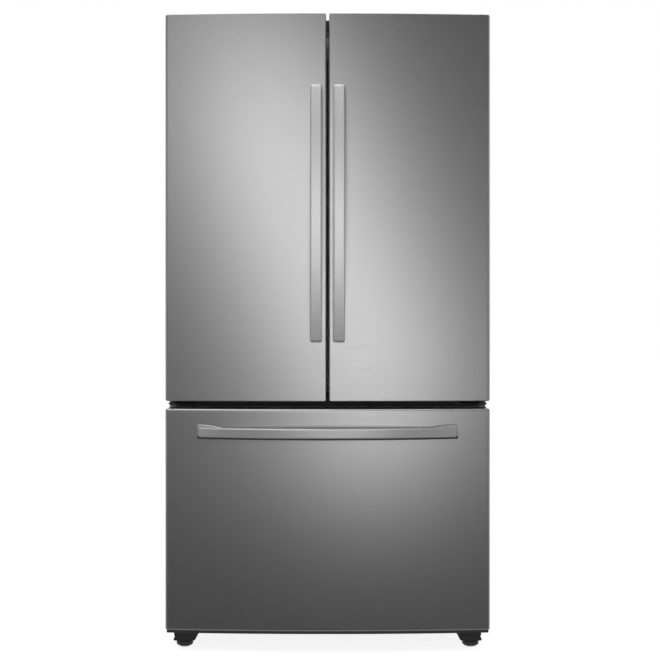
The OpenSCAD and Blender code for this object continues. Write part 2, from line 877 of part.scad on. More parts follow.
door_bin(-1, 0);  // left_bin_lower
mullion();
door_skin(1);  // right_door_skin
door_liner(1);  // right_door_liner
door_caps(1);  // right_door_caps
door_gasket(1);  // right_door_gasket
door_handle(1);  // right_handle
door_bin(1, 2);  // right_bin_upper
door_bin(1, 1);  // right_bin_middle
door_bin(1, 0);  // right_bin_lower
drawer_skin();
drawer_liner();
drawer_caps();
drawer_gasket();
drawer_handle();
drawer_slides();
freezer_basket();
slide_carriages();
upper_freezer_drawer();
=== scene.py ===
"""Looks of the french door refrigerator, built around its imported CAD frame.

Metres, +Z up, the fronts face -Y.
"""
import json
import math

import bmesh
import bpy
from mathutils import Matrix, Vector


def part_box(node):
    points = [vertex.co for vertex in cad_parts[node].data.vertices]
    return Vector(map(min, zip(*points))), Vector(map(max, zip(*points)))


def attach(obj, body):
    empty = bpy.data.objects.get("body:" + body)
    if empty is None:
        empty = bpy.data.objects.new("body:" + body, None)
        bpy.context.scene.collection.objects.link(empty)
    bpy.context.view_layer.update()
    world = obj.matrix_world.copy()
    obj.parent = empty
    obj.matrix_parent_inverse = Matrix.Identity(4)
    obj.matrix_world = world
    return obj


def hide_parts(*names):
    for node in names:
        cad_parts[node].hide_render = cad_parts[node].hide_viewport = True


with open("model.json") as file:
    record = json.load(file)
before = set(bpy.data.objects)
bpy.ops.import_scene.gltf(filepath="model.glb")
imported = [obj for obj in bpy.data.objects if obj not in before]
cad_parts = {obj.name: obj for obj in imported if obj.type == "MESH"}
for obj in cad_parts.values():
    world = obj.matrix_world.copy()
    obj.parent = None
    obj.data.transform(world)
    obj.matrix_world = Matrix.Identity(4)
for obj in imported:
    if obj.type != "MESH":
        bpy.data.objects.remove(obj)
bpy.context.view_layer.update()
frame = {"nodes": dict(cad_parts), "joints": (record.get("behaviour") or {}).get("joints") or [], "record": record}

MM = 0.001
nodes = frame["nodes"]

# Driving dimensions that the boxes of the nodes don't give
FRONT_BOW = 20 * MM          # rise of the fronts' middle over their outer edges
ROLL_R = 6 * MM              # rolled edge of the steel fronts
CORNER_R = 6 * MM            # corner of a front, seen from the front
INNER_ROLL = 0.35            # share of the roll's width at the doors' tighter edges
FOLD = 16 * MM               # steel folded back over a front's top and bottom
SHEET = 0.9 * MM
HANDLE_BOW = 36 * MM         # rise of a handle's middle over its ends
DRAWER_HANDLE_BOW = 55 * MM
HANDLE_T = 14 * MM
HANDLE_SHADE_STRIP = 4 * MM          # dark strip under the drawer handle's bar: painted shade, not a real part
HANDLE_CUT = 7 * MM          # length over which a handle's ends are cut back
BEVEL = 3.2 * MM             # bevel along a handle's front edges
SHOULDER_RISE = 8 * MM       # how far the drawer handle's end mounts stand over its bar
SKIN_GAP = 0.2 * MM          # between a handle's mounts and the front's surface
MULLION_AXIS = (-36 * MM, -265.5 * MM)   # pins of the folding strip, seen from above
LUG_LEVELS = (800 * MM, 1210 * MM, 1620 * MM)
LUG_H = 12 * MM
DRAWER_DIKE_X = 372 * MM     # half width of the raised wall inside the drawer front
BIN_LEVELS = ("upper", "middle", "lower")
SHELF_TOP = 12 * MM          # from the level a shelf rests at up to the top of its CAD box
FREEZER_FLOOR = 118 * MM
FREEZER_STEP = (225 * MM, 345 * MM)      # y of the riser and z of the step over the machine space
UPPER_RAIL_Z = 486 * MM      # top of the upper freezer drawer's rails
COMPRESSOR_AXIS = (230 * MM, 350 * MM)   # x, y
FLUTED_FROM_R = 12 * MM      # a turned piece's flutes start outside this radius

# --- camera -----------------------------------------------------------------

CAMERA_DISTANCE = 4.0        # from the fronts' outer edges
CAMERA_Z = 0.938
LENS = 78.1
SHIFT = (0.0036, -0.0227)


def make_camera():
    data = bpy.data.cameras.new("camera")
    data.lens = LENS
    data.sensor_width = 36
    data.shift_x, data.shift_y = SHIFT
    camera = bpy.data.objects.new("camera", data)
    edge_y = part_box("right_door_skin")[0].y + FRONT_BOW
    camera.location = (0, edge_y - CAMERA_DISTANCE, CAMERA_Z)
    camera.rotation_euler = (math.radians(90), 0, 0)
    bpy.context.scene.collection.objects.link(camera)
    bpy.context.scene.camera = camera


# --- mesh helpers -----------------------------------------------------------

def add_object(name, mesh):
    obj = bpy.data.objects.new(name, mesh)
    bpy.context.scene.collection.objects.link(obj)
    return obj


def mesh_from(name, verts, faces, sharp=None):
    mesh = bpy.data.meshes.new(name)
    mesh.from_pydata([tuple(v) for v in verts], [], faces)
    mesh.validate()
    bm = bmesh.new()
    bm.from_mesh(mesh)
    bmesh.ops.remove_doubles(bm, verts=bm.verts, dist=1e-6)
    bmesh.ops.recalc_face_normals(bm, faces=bm.faces)
    bm.to_mesh(mesh)
    bm.free()
    for p in mesh.polygons:
        p.use_smooth = True
    if sharp is not None:
        mesh.set_sharp_from_angle(angle=math.radians(sharp))
    return add_object(name, mesh)


def uv_from_axes(obj, u_axis, v_axis):
    """A UV map along two of the frame's axes, so that brushing has a direction."""
    mesh = obj.data
    layer = mesh.uv_layers.new(name="grain")
    for loop in mesh.loops:
        co = mesh.vertices[loop.vertex_index].co
        layer.data[loop.index].uv = (co[u_axis], co[v_axis])


def finish_piece(obj, body, slot, node=None, material=None):
    """Gives a piece its material, the slot's unless one is given, and the body it rides on, and hides the CAD node
    it stands for.
    """
    obj.data.materials.clear()
    obj.data.materials.append(material or SLOT_MATERIALS[slot])
    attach(obj, body)
    if node:
        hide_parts(node)
    return obj


def bevel(obj, width, segments=3, angle=35):
    mod = obj.modifiers.new("edge", "BEVEL")
    mod.width = width
    mod.segments = segments
    mod.limit_method = "ANGLE"
    mod.angle_limit = math.radians(angle)


def rounded_rect(x0, x1, z0, z1, r, n=5):
    """Points of a rounded rectangle, counter-clockwise seen from the front, from the lower right."""
    points = []
    corners = [(x1 - r, z0 + r, -90), (x1 - r, z1 - r, 0), (x0 + r, z1 - r, 90), (x0 + r, z0 + r, 180)]
    for cx, cz, start in corners:
        for i in range(n + 1):
            a = math.radians(start + 90 * i / n)
            points.append((cx + r * math.cos(a), cz + r * math.sin(a)))
    return points


def loft(rings, close_first=True, close_last=True):
    """Faces through rings of equal length."""
    n = len(rings[0])
    verts = [p for ring in rings for p in ring]
    faces = []
    for k in range(len(rings) - 1):
        for i in range(n):
            j = (i + 1) % n
            faces.append((k * n + i, k * n + j, (k + 1) * n + j, (k + 1) * n + i))
    if close_first:
        faces.append(tuple(range(n))[::-1])
    if close_last:
        faces.append(tuple((len(rings) - 1) * n + i for i in range(n)))
    return verts, faces


def closed_loft(rings):
    """Faces through rings whose last one joins the first."""
    return loft(rings + [rings[0]], close_first=False, close_last=False)


def turn_to(axis):
    """The rotation that points +Z along an axis."""
    return Vector((0, 0, 1)).rotation_difference(Vector(axis)).to_matrix()


def polar(r, a, z=0.0):
    return Vector((r * math.cos(a), r * math.sin(a), z))


def join(objs, name):
    with bpy.context.temp_override(active_object=objs[0], selected_editable_objects=objs):
        bpy.ops.object.join()
    objs[0].name = name
    objs[0].data.name = name
    return objs[0]


# --- materials --------------------------------------------------------------

GRAIN_RANGE = (0.3, 0.7)     # the noise values between which colour and roughness change

def add_node(tree, kind, **values):
    """A shader node with some of its inputs set."""
    shader_node = tree.nodes.new(f"ShaderNode{kind}")
    for socket, value in values.items():
        shader_node.inputs[socket.replace("_", " ")].default_value = value
    return shader_node


def wire(tree, source, output, target, socket):
    tree.links.new(source.outputs[output], target.inputs[socket])


def principled(name, color, roughness, metallic=0.0, grain=(1, 1, 1), grain_scale=400.0, shade=0.06,
               rough_span=0.08, bump=0.1, bump_depth=0.0002, detail=3.0, **sockets):
    """A Principled material whose colour, roughness and relief follow one procedural grain."""
    material = bpy.data.materials.new(name)
    material.use_nodes = True
    tree = material.node_tree
    shader = tree.nodes["Principled BSDF"]
    coords = add_node(tree, "TexCoord")
    mapping = add_node(tree, "Mapping", Scale=grain)
    noise = add_node(tree, "TexNoise", Scale=grain_scale, Detail=detail)
    wire(tree, coords, "Object", mapping, "Vector")
    wire(tree, mapping, "Vector", noise, "Vector")

    tint = add_node(tree, "ValToRGB")
    darker, lighter = tint.color_ramp.elements
    darker.position, lighter.position = GRAIN_RANGE
    darker.color = [c * (1 - shade) for c in color] + [1]
    lighter.color = [min(1, c * (1 + shade)) for c in color] + [1]
    wire(tree, noise, "Fac", tint, "Fac")
    wire(tree, tint, "Color", shader, "Base Color")

    rough = add_node(tree, "MapRange", From_Min=GRAIN_RANGE[0], From_Max=GRAIN_RANGE[1],
                     To_Min=max(0.02, roughness - rough_span / 2), To_Max=roughness + rough_span / 2)
    wire(tree, noise, "Fac", rough, "Value")
    wire(tree, rough, "Result", shader, "Roughness")

    relief = add_node(tree, "Bump", Strength=bump, Distance=bump_depth)
    wire(tree, noise, "Fac", relief, "Height")
    wire(tree, relief, "Normal", shader, "Normal")

    shader.inputs["Metallic"].default_value = metallic
    for socket, value in sockets.items():
        shader.inputs[socket.replace("_", " ")].default_value = value
    return material


def brushed(name, color, roughness, along, anisotropic, bump):
    """Brushed metal: fine lines along one axis, and reflections spread across them."""
    stretch = [900.0, 900.0, 900.0]
    stretch[along] = 6.0
    material = principled(name, color, roughness, metallic=1.0, grain=stretch, grain_scale=1.0,
                          shade=0.035, rough_span=0.06, bump=bump, bump_depth=0.00004, detail=5.0,
                          Anisotropic=anisotropic)
    tree = material.node_tree
    tangent = add_node(tree, "Tangent")
    tangent.direction_type = "UV_MAP"
    tangent.uv_map = "grain"
    wire(tree, tangent, "Tangent", tree.nodes["Principled BSDF"], "Tangent")
    return material


# The CAD's own materials have the slots' names, so Blender puts a number behind these
SLOT_MATERIALS = {material.name.split(".")[0]: material for material in (
    brushed("front_steel", (0.60, 0.60, 0.605), 0.31, along=0, anisotropic=0.5, bump=0.05),
    brushed("handle_steel", (0.88, 0.88, 0.885), 0.42, along=2, anisotropic=0.3, bump=0.004),
    principled("cabinet_paint", (0.16, 0.165, 0.172), 0.42, grain_scale=900, bump=0.25,
               bump_depth=0.0003, shade=0.05),
    principled("zinc_sheet", (0.55, 0.57, 0.59), 0.38, metallic=1.0, grain_scale=35, shade=0.12,
               rough_span=0.2, bump=0.03),
    principled("black_metal", (0.018, 0.018, 0.02), 0.38, grain_scale=700, bump=0.15),
    principled("dark_plastic", (0.022, 0.022, 0.024), 0.48, grain_scale=1400, bump=0.3,
               bump_depth=0.00025),
    principled("white_liner", (0.86, 0.865, 0.87), 0.32, grain_scale=1200, shade=0.012, bump=0.04,
               rough_span=0.04),
    principled("light_lens", (0.90, 0.90, 0.88), 0.5, grain_scale=300, shade=0.02,
               Transmission_Weight=0.3),
    principled("coil_fins", (0.70, 0.71, 0.72), 0.3, metallic=1.0, grain_scale=200, shade=0.08),
    principled("shelf_glass", (0.86, 0.95, 0.94), 0.05, grain_scale=20, shade=0.01, rough_span=0.03,
               bump=0.01, Transmission_Weight=0.95, IOR=1.5),
    principled("clear_plastic", (0.88, 0.92, 0.95), 0.16, grain_scale=80, shade=0.02, bump=0.03,
               Transmission_Weight=0.85, IOR=1.49),
    principled("gasket_rubber", (0.52, 0.525, 0.53), 0.6, grain_scale=500, bump=0.1),
    principled("mullion_plastic", (0.20, 0.205, 0.215), 0.45, grain_scale=900, bump=0.2),
)}
# The door handles' steel, brushed along X, with a darker colour that paints in the shade the drawer handle gets
shaded_drawer_handle_steel = brushed("shaded_drawer_handle_steel", (0.78, 0.78, 0.785), 0.42, along=0,
                              anisotropic=0.3, bump=0.004)
screw_metal = principled("screw_metal", (0.5, 0.51, 0.52), 0.3, metallic=1.0, grain_scale=600)
copper = principled("copper_tube", (0.72, 0.40, 0.26), 0.34, metallic=1.0, grain_scale=60, shade=0.15)


def paint_cad_nodes():
    """Every CAD node that stays gets its slot's procedural material and softened edges."""
    soft_edge = 0.6 * MM
    for row in frame["record"]["subparts"]:
        node = nodes[row["node"]]
        material = SLOT_MATERIALS[row["material_slot"]]
        for s in node.material_slots:
            s.material = material
        if not node.material_slots:
            node.data.materials.append(material)
        bevel(node, soft_edge, segments=2)


# --- steel fronts -----------------------------------------------------------

class Bow:
    """The fronts' shared arc, seen from above."""

    def __init__(self, y_front, half):
        self.r = (half ** 2 + FRONT_BOW ** 2) / (2 * FRONT_BOW)
        self.y_front = y_front

    def y(self, x):
        return self.y_front + self.r - math.sqrt(self.r ** 2 - x ** 2)


drawer_low, drawer_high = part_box("drawer_skin")
bow = Bow(drawer_low.y, drawer_high.x)


def front_ring(x0, x1, z0, z1, inset, back, n_side):
    """One ring of a front: its outline moved in by inset, and set back behind the bow.

    All edges of a door but the outer one are rolled tighter than the drawer's.
    """
    r = max(CORNER_R - inset, 0.4 * MM)
    left = inset * (INNER_ROLL if x0 > 0 else 1)
    right = inset * (INNER_ROLL if x1 < 0 else 1)
    flat = inset * (INNER_ROLL if x0 > 0 or x1 < 0 else 1)
    corner = rounded_rect(x0 + left, x1 - right, z0 + flat, z1 - flat, r)
    n = len(corner) // 4
    lower, upper = corner[:n], corner[n:2 * n]
    upper_left, lower_left = corner[2 * n:3 * n], corner[3 * n:]
    across = [i / n_side for i in range(1, n_side)]
    top = [(upper[-1][0] + (upper_left[0][0] - upper[-1][0]) * t, upper[-1][1]) for t in across]
    bottom = [(lower_left[-1][0] + (lower[0][0] - lower_left[-1][0]) * t, lower[0][1]) for t in across]
    points = lower + upper + top + upper_left + lower_left + bottom
    return [(x, bow.y(x) + (back(x) if callable(back) else back), z) for x, z in points]


def steel_front(name, node, body):
    """A steel front: bowed face, rolled edges, sides that run back and a folded top and bottom."""
    low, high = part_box(node)
    x0, x1, z0, z1 = low.x, high.x, low.z, high.z
    n_side = max(10, round((x1 - x0) / 0.035))

    def side_depth(x):
        on_side = x - x0 < CORNER_R * 0.75 or x1 - x < CORNER_R * 0.75
        return high.y - bow.y(x) if on_side else FOLD + ROLL_R

    rings = [front_ring(x0, x1, z0, z1, 0, side_depth, n_side)]
    steps = 6
    for i in range(steps + 1):
        a = math.radians(90 - 90 * i / steps)
        inset, back = ROLL_R * (1 - math.sin(a)), ROLL_R * (1 - math.cos(a))
        rings.append(front_ring(x0, x1, z0, z1, inset, back, n_side))
    support = 2.5 * MM                      # an inner ring that keeps the roll's shading off the face
    rings.append(front_ring(x0, x1, z0, z1, ROLL_R + support, 0, n_side))
    verts, faces = loft(rings, close_first=False, close_last=False)
    n = len(rings[0])
    base = (len(rings) - 1) * n
    corner = (n - 2 * (n_side - 1)) // 4    # points on one rounded corner
    top = [base + i for i in range(corner, 3 * corner + n_side - 1)]
    bottom = [base + i for i in range(3 * corner + n_side - 1, n)] + [base + i for i in range(corner)]
    bottom.reverse()
    for i in range(len(top) - 1):
        faces.append((top[i], bottom[i], bottom[i + 1], top[i + 1]))
    obj = mesh_from(name, verts, faces)
    uv_from_axes(obj, 0, 2)
    thick = obj.modifiers.new("sheet", "SOLIDIFY")
    thick.thickness = SHEET
    thick.offset = -1
    return finish_piece(obj, body, "front_steel", node)


# --- handles ----------------------------------------------------------------

def bar_section(w, t):
    """Half-open box section of a handle bar: (across, depth) points, bevelled at the front."""
    h = w / 2
    back, nip = 1.2 * MM, BEVEL * 0.35
    return [(-h, t - back), (-h, BEVEL), (-h + nip, nip), (-h + BEVEL, 0), (h - BEVEL, 0),
            (h - nip, nip), (h, BEVEL), (h, t - back), (h - back, t), (-h + back, t)]


def bow_radius(half, rise):
    return (half ** 2 + rise ** 2) / (2 * rise)


def bowed_bar(half, rise, w):
    """A bar along X whose front bows out to y = 0 at the middle, with its ends cut back."""
    r = bow_radius(half, rise)
    a_end = math.asin(half / r)
    n = 40
    cut = HANDLE_CUT / half
    stations = [-1, -1 + cut * 0.35, -1 + cut]
    stations += [-1 + cut + (2 - 2 * cut) * i / n for i in range(1, n)]
    stations += [1 - cut, 1 - cut * 0.35, 1]
    rings = []
    for s in stations:
        a = a_end * s
        near_end = max(0.0, 1 - (1 - abs(s)) * half / HANDLE_CUT)
        ring = []
        for across, depth in bar_section(w * (1 - 0.10 * near_end), HANDLE_T):
            on_face = depth <= HANDLE_T * 0.5
            d = depth + near_end ** 1.3 * HANDLE_T * 0.45 if on_face else depth
            ring.append(((r - d) * math.sin(a), r - (r - d) * math.cos(a), across))
        rings.append(ring)
    return loft(rings)


def door_handle(side):
    """A bar handle on two posts, each with a flat foot on the door."""
    node = f"{side}_handle"
    low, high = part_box(node)
    centre = (low + high) / 2
    half = (high.z - low.z) / 2
    verts, faces = bowed_bar(half, HANDLE_BOW, high.x - low.x)
    upright = [(centre.x + z, low.y + y, centre.z + x) for x, y, z in verts]
    parts = [mesh_from(f"{side}_handle_bar", upright, faces, sharp=25)]
    y_front = low.y + HANDLE_BOW * 0.86 + HANDLE_T * 0.5
    y_back = bow.y(centre.x) - SKIN_GAP
    for s in (-1, 1):
        z = centre.z + s * (half - 22 * MM)
        for y, w, h, r in ((y_front, 10 * MM, 14 * MM, 2.5 * MM),
                           (y_back - 3 * MM, 12 * MM, 17 * MM, 1.2 * MM)):
            post = soft_block((centre.x - w, y, z - h), (centre.x + w, y_back, z + h), r, segments=4)
            parts.append(mesh_from("post", *post, sharp=50))
    bar = join(parts, f"{side}_handle_bar")
    uv_from_axes(bar, 2, 0)
    return finish_piece(bar, f"{side}_door", "handle_steel", node)


def drawer_handle():
    """A bar handle with a dark strip of painted shade under it, and shouldered mounts at its ends."""
    low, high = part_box("drawer_handle")
    door_handle_low, door_handle_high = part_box("right_handle")
    bar_h = door_handle_high.x - door_handle_low.x
    z_mid = high.z - SHOULDER_RISE - bar_h / 2
    half = high.x
    verts, faces = bowed_bar(half, DRAWER_HANDLE_BOW, bar_h - HANDLE_SHADE_STRIP)
    moved = [(x, low.y + y, z_mid + HANDLE_SHADE_STRIP / 2 + z) for x, y, z in verts]
    parts = [mesh_from("drawer_handle_bar", moved, faces, sharp=25)]
    r = bow_radius(half, DRAWER_HANDLE_BOW)
    # the first shape is the dark strip of painted shade under the bar; it joins the end mounts in the dark plastic
    # piece
    mounts = [painted_shade_strip(half - 1.5 * MM, r, low.y, z_mid - bar_h / 2)]
    for s in (-1, 1):
        shoulder = mount_loft(s, half, r, low.y, z_mid, bar_h, 0.0, 0.10)
        parts.append(mesh_from("shoulder", *shoulder, sharp=25))
        mounts.append(mount_loft(s, half, r, low.y, z_mid, bar_h, 0.08, 1.0))
    bar = join(parts, "drawer_handle_bar")
    uv_from_axes(bar, 0, 2)
    piece("drawer_handle_mounts_and_shade_strip", mounts, "freezer_drawer", "dark_plastic", sharp=30)
    return finish_piece(bar, "freezer_drawer", "handle_steel", "drawer_handle", shaded_drawer_handle_steel)


def painted_shade_strip(half, r, y_front, bottom):
    """Dark strip along the underside of the drawer handle's bar. It is painted shade for the bar's shadow and
    underside, not a moulded part.
    """
    inset = 2 * MM
    top = bottom + 2 * HANDLE_SHADE_STRIP
    n = 40
    rings = []
    for i in range(n + 1):
        x = half * (2 * i / n - 1)
        y0 = y_front + r - math.sqrt((r - inset) ** 2 - x ** 2)
        y1 = y0 + HANDLE_T - 2 * inset
        rings.append([(x, y0, bottom), (x, y1, bottom), (x, y1, top), (x, y0, top)])
    return loft(rings)


def mount_loft(side, half, r, y_front, z_mid, bar_h, near, far):
    """Part of a drawer handle's end mount, from near to far along its depth between bar and front."""
    length, e = 72 * MM, 1.2 * MM
    n = 12
    rings = []
    for i in range(n + 1):
        t = i / n
        x = half - 1 * MM - length * (1 - t)
        y_bar = y_front + r - math.sqrt((r - HANDLE_T + 2 * MM) ** 2 - x ** 2)
        depth = bow.y(x) - SKIN_GAP - y_bar
        y0, y1 = y_bar + depth * near, y_bar + depth * far
        bottom = z_mid - bar_h / 2 + 3 * MM + 8 * MM * (1 - t)
        top = z_mid + bar_h / 2 + SHOULDER_RISE * math.sin(math.pi / 2 * t)
        section = [(y0, bottom + e), (y0 + e, bottom), (y1, bottom), (y1, top), (y0 + e, top),
                   (y0, top - e)]
        rings.append([(side * x, y, z) for y, z in section])
    return loft(rings)


# --- shapes shared by the detail pieces ---------------------------------------

def merged(name, shapes, sharp=35):
    """One mesh from several (verts, faces) shapes."""
    verts, faces = [], []
    for shape_verts, shape_faces in shapes:
        base = len(verts)
        verts += [tuple(v) for v in shape_verts]
        faces += [tuple(base + i for i in face) for face in shape_faces]
    return mesh_from(name, verts, faces, sharp=sharp)


def piece(name, shapes, body, slot, node=None, sharp=35, material=None):
    """A finished piece from shapes. It stands for the CAD node, if one is named."""
    return finish_piece(merged(name, shapes, sharp), body, slot, node, material)


def shape_of(bm):
    """Takes the (verts, faces) out of a bmesh and frees it."""
    bm.verts.index_update()
    shape = ([v.co.copy() for v in bm.verts], [tuple(v.index for v in f.verts) for f in bm.faces])
    bm.free()
    return shape


def soft_block(a, b, r, segments=2):
    """A block from corner a to corner b whose edges are all rounded."""
    bm = bmesh.new()
    bmesh.ops.create_cube(bm, size=1)
    size = Vector(b) - Vector(a)
    centre = (Vector(a) + Vector(b)) / 2
    for v in bm.verts:
        v.co = Vector((v.co.x * size.x, v.co.y * size.y, v.co.z * size.z)) + centre
    bmesh.ops.bevel(bm, geom=bm.edges[:], offset=r, segments=segments, affect="EDGES", profile=0.5)
    return shape_of(bm)


def block_pair(x_in, x_out, y0, y1, z0, z1, r, segments=2):
    """Two soft blocks, one on each side of the centre plane."""
    blocks = []
    for side in (-1, 1):
        x0, x1 = sorted((side * x_in, side * x_out))
        blocks.append(soft_block((x0, y0, z0), (x1, y1, z1), r, segments))
    return blocks


def turned(profile, centre, axis=(0, 0, 1), segments=40, bore=False, flutes=0, flute_depth=0.0):
    """A profile of (radius, height) turned about an axis. With bore the profile is a closed loop."""
    turn = turn_to(axis)
    rings = []
    for r, h in profile:
        ring = []
        for i in range(segments):
            a = 2 * math.pi * i / segments
            fluted = flutes and r > FLUTED_FROM_R
            rr = r - flute_depth * (1 - math.cos(a * flutes)) / 2 if fluted else r
            ring.append(turn @ polar(rr, a, h) + Vector(centre))
        rings.append(ring)
    return closed_loft(rings) if bore else loft(rings)


def in_mm(points):
    return [(a * MM, b * MM) for a, b in points]


def screw(centre, axis, r):
    """A pan head with a washer, and a cross recess's dimple."""
    head = [(1.45, 0), (1.45, 0.22), (1, 0.26), (0.96, 0.62), (0.72, 0.86), (0.36, 0.92), (0.22, 0.55)]
    return turned([(r * a, r * h) for a, h in head], centre, axis, segments=20)


def plan_rings(x0, x1, y0, y1, r, profile, n=6):
    """Rings of a rounded rectangle lying flat, one for each (inset, z)."""
    rings = []
    for inset, z in profile:
        corner_r = max(r - inset, 1.2 * MM)
        points = rounded_rect(x0 + inset, x1 - inset, y0 + inset, y1 - inset, corner_r, n)
        rings.append([(x, y, z) for x, y in points])
    return rings


def moulded_tray(low, high, wall, r, lean=3 * MM, rim=2.5 * MM):
    """An open tray: rounded corners and floor edge, walls that lean out, and a rolled rim."""
    (x0, y0, z0), (x1, y1, z1) = low, high
    foot = rim + lean
    outer = [(foot + 9 * MM, z0), (foot + 3 * MM, z0 + 0.8 * MM), (foot + 0.8 * MM, z0 + 3 * MM),
             (foot, z0 + 8 * MM), (rim, z1 - 8 * MM), (rim * 0.4, z1 - 7 * MM), (0, z1 - 5.6 * MM),
             (0, z1 - 1.4 * MM), (0.4 * MM, z1 - 0.4 * MM), (1.4 * MM, z1)]
    foot_in, rim_in, floor = foot + wall, rim + wall, z0 + wall
    inner = [(rim_in - 1.2 * MM, z1), (rim_in, z1 - 1.2 * MM), (rim_in, z1 - 8 * MM),
             (foot_in, floor + 8 * MM), (foot_in + 0.8 * MM, floor + 3 * MM),
             (foot_in + 3 * MM, floor + 0.8 * MM), (foot_in + 9 * MM, floor)]
    return loft(plan_rings(x0, x1, y0, y1, r, outer + inner))


def domed_cover(low, high, r, edge):
    """A cover with rounded corners in plan and a rounded top edge."""
    (x0, y0, z0), (x1, y1, z1) = low, high
    profile = [(0, z0)]
    for i in range(6):
        a = math.radians(90 * i / 5)
        profile.append((edge * (1 - math.cos(a)), z1 - edge * (1 - math.sin(a))))
    return loft(plan_rings(x0, x1, y0, y1, r, profile))


def front_rings(rows, n=5):
    """Rings of upright rounded rectangles, one for each (x0, x1, z0, z1, r, y)."""
    return [[(x, y, z) for x, z in rounded_rect(x0, x1, z0, z1, r, n)]
            for x0, x1, z0, z1, r, y in rows]


def inset_rows(x0, x1, z0, z1, table):
    """Rows for front_rings, one for each (inset in mm, corner radius in mm, y)."""
    return [(x0 + i * MM, x1 - i * MM, z0 + i * MM, z1 - i * MM, r * MM, y) for i, r, y in table]


def frame_sweep(x0, x1, z0, z1, r, section):
    """A closed section of (inset, y) carried round an upright rounded rectangle."""
    rows = [(x0 + i, x1 - i, z0 + i, z1 - i, max(r - i, 1 * MM), y) for i, y in section]
    return closed_loft(front_rings(rows))


def extruded(outline, z0, z1, edge):
    """A flat outline of (x, y) given height, with a small chamfer on its upper and lower rims."""
    cx = sum(x for x, y in outline) / len(outline)
    cy = sum(y for x, y in outline) / len(outline)

    def ring(inset, z):
        points = []
        for x, y in outline:
            away = Vector((x - cx, y - cy))
            away = away * (1 - inset / max(away.length, inset))
            points.append((cx + away.x, cy + away.y, z))
        return points

    return loft([ring(edge, z0), ring(0, z0 + edge), ring(0, z1 - edge), ring(edge, z1)])


# --- fronts: end caps, liners and gaskets -------------------------------------

def hinge_axis(side):
    """Plan position of a door's hinge pins."""
    for joint in frame["joints"]:
        if joint["name"] == f"{side}_door_hinge":
            return joint["pos_m"][0], joint["pos_m"][1]
    raise KeyError(side)


def cap_outline(low, high, side_inset, front_inset, n=24):
    """Plan of an end cap: it follows the bow of the front."""
    x0, x1 = low.x + side_inset, high.x - side_inset
    front = [x0 + (x1 - x0) * i / n for i in range(n + 1)]
    return [(x, bow.y(x) + front_inset) for x in front] + [(x1, high.y), (x0, high.y)]


def end_caps(prefix, body):
    """Moulded caps closing the top and bottom of a front, just inside its folded steel."""
    low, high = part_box(f"{prefix}_skin")
    gap, height = 1.2 * MM, 9 * MM
    rib_w, rib_h, rib_step = 2 * MM, 0.7 * MM, 60 * MM
    rib_y0 = bow.y(max(abs(low.x), abs(high.x))) + FOLD + 12 * MM
    rib_y1 = high.y - 3 * MM
    outline = cap_outline(low, high, 2.2 * MM, 8 * MM)
    bottom = (low.z + gap, low.z + height, low.z + gap - rib_h)
    top = (high.z - height, high.z - gap, high.z - gap)
    shapes = []
    for z0, z1, rib_z in (bottom, top):
        shapes.append(extruded(outline, z0, z1, 0.5 * MM))
        x = low.x + 30 * MM
        while x < high.x - 40 * MM:
            shapes.append(soft_block((x, rib_y0, rib_z),
                                     (x + rib_w, rib_y1, rib_z + rib_h + 0.1 * MM), 0.25 * MM))
            x += rib_step
    return piece(f"{prefix}_end_caps", shapes, body, "dark_plastic", f"{prefix}_caps")


def rim_rows(low, high, y_back, rim_y):
    """Rows of an inner panel from its back to the flat seat of the gasket."""
    return inset_rows(low.x, high.x, low.z, high.z, [
        (0.5, 5, y_back), (0.5, 5, rim_y - 3 * MM), (1.5, 5, rim_y - 0.8 * MM), (3.5, 5, rim_y)])


def door_liner_piece(side):
    """The door's moulded inner panel: rim, gasket seat, raised inner wall and recessed middle."""
    node = f"{side}_door_liner"
    low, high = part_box(f"{side}_door_skin")
    rim_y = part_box(f"{side}_door_gasket")[0].y
    bin_low, bin_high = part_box(f"{side}_bin_upper")
    strip_low, strip_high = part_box("mullion")
    y_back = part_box(node)[0].y
    wall, clear = 16 * MM, 6 * MM
    dike_y = y_back + 59 * MM
    rows = rim_rows(low, high, y_back, rim_y)
    rows += inset_rows(bin_low.x - clear - wall, bin_high.x + clear + wall,
                       strip_low.z - 4 * MM, strip_high.z + 4 * MM, [
        (-4, 22, rim_y), (-1, 19, rim_y + 1.2 * MM), (0, 18, rim_y + 5 * MM), (0, 18, dike_y - 6 * MM),
        (1.6, 17, dike_y - 1.6 * MM), (5, 14, dike_y), (11, 10, dike_y), (14.6, 8, dike_y - 1.6 * MM),
        (16, 7, dike_y - 6 * MM), (16, 7, rim_y + 3 * MM), (19, 5, rim_y)])
    shapes = [loft(front_rings(rows))]
    for level in BIN_LEVELS:
        bin_low, bin_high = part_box(f"{side}_bin_{level}")
        for x0, x1 in ((bin_low.x - clear - 1.5 * MM, bin_low.x - 0.3 * MM),
                       (bin_high.x + 0.3 * MM, bin_high.x + clear + 1.5 * MM)):
            shapes.append(soft_block((x0, rim_y + 4 * MM, bin_low.z + 22 * MM),
                                     (x1, dike_y - 8 * MM, bin_low.z + 42 * MM), 2.2 * MM, segments=3))
    if side == "left":
        shapes += mullion_lug_shapes(rim_y)
    return piece(f"{side}_door_inner_panel", shapes, f"{side}_door", "white_liner", node, sharp=50)


def mullion_lug_shapes(rim_y):
    """The three lugs that carry the folding strip's pins."""
    x, y = MULLION_AXIS
    outer, inner, edge = 6 * MM, 3.05 * MM, 0.6 * MM
    loop = [(outer - edge, 0), (outer, edge), (outer, LUG_H - edge), (outer - edge, LUG_H),
            (inner, LUG_H), (inner, 0)]
    shapes = []
    for z in LUG_LEVELS:
        shapes.append(turned(loop, (x, y, z), segments=32, bore=True))
        shapes.append(soft_block((x - 10 * MM, rim_y - 1 * MM, z),
                                 (x - 3.4 * MM, y + 3.4 * MM, z + LUG_H), 0.8 * MM))
    return shapes


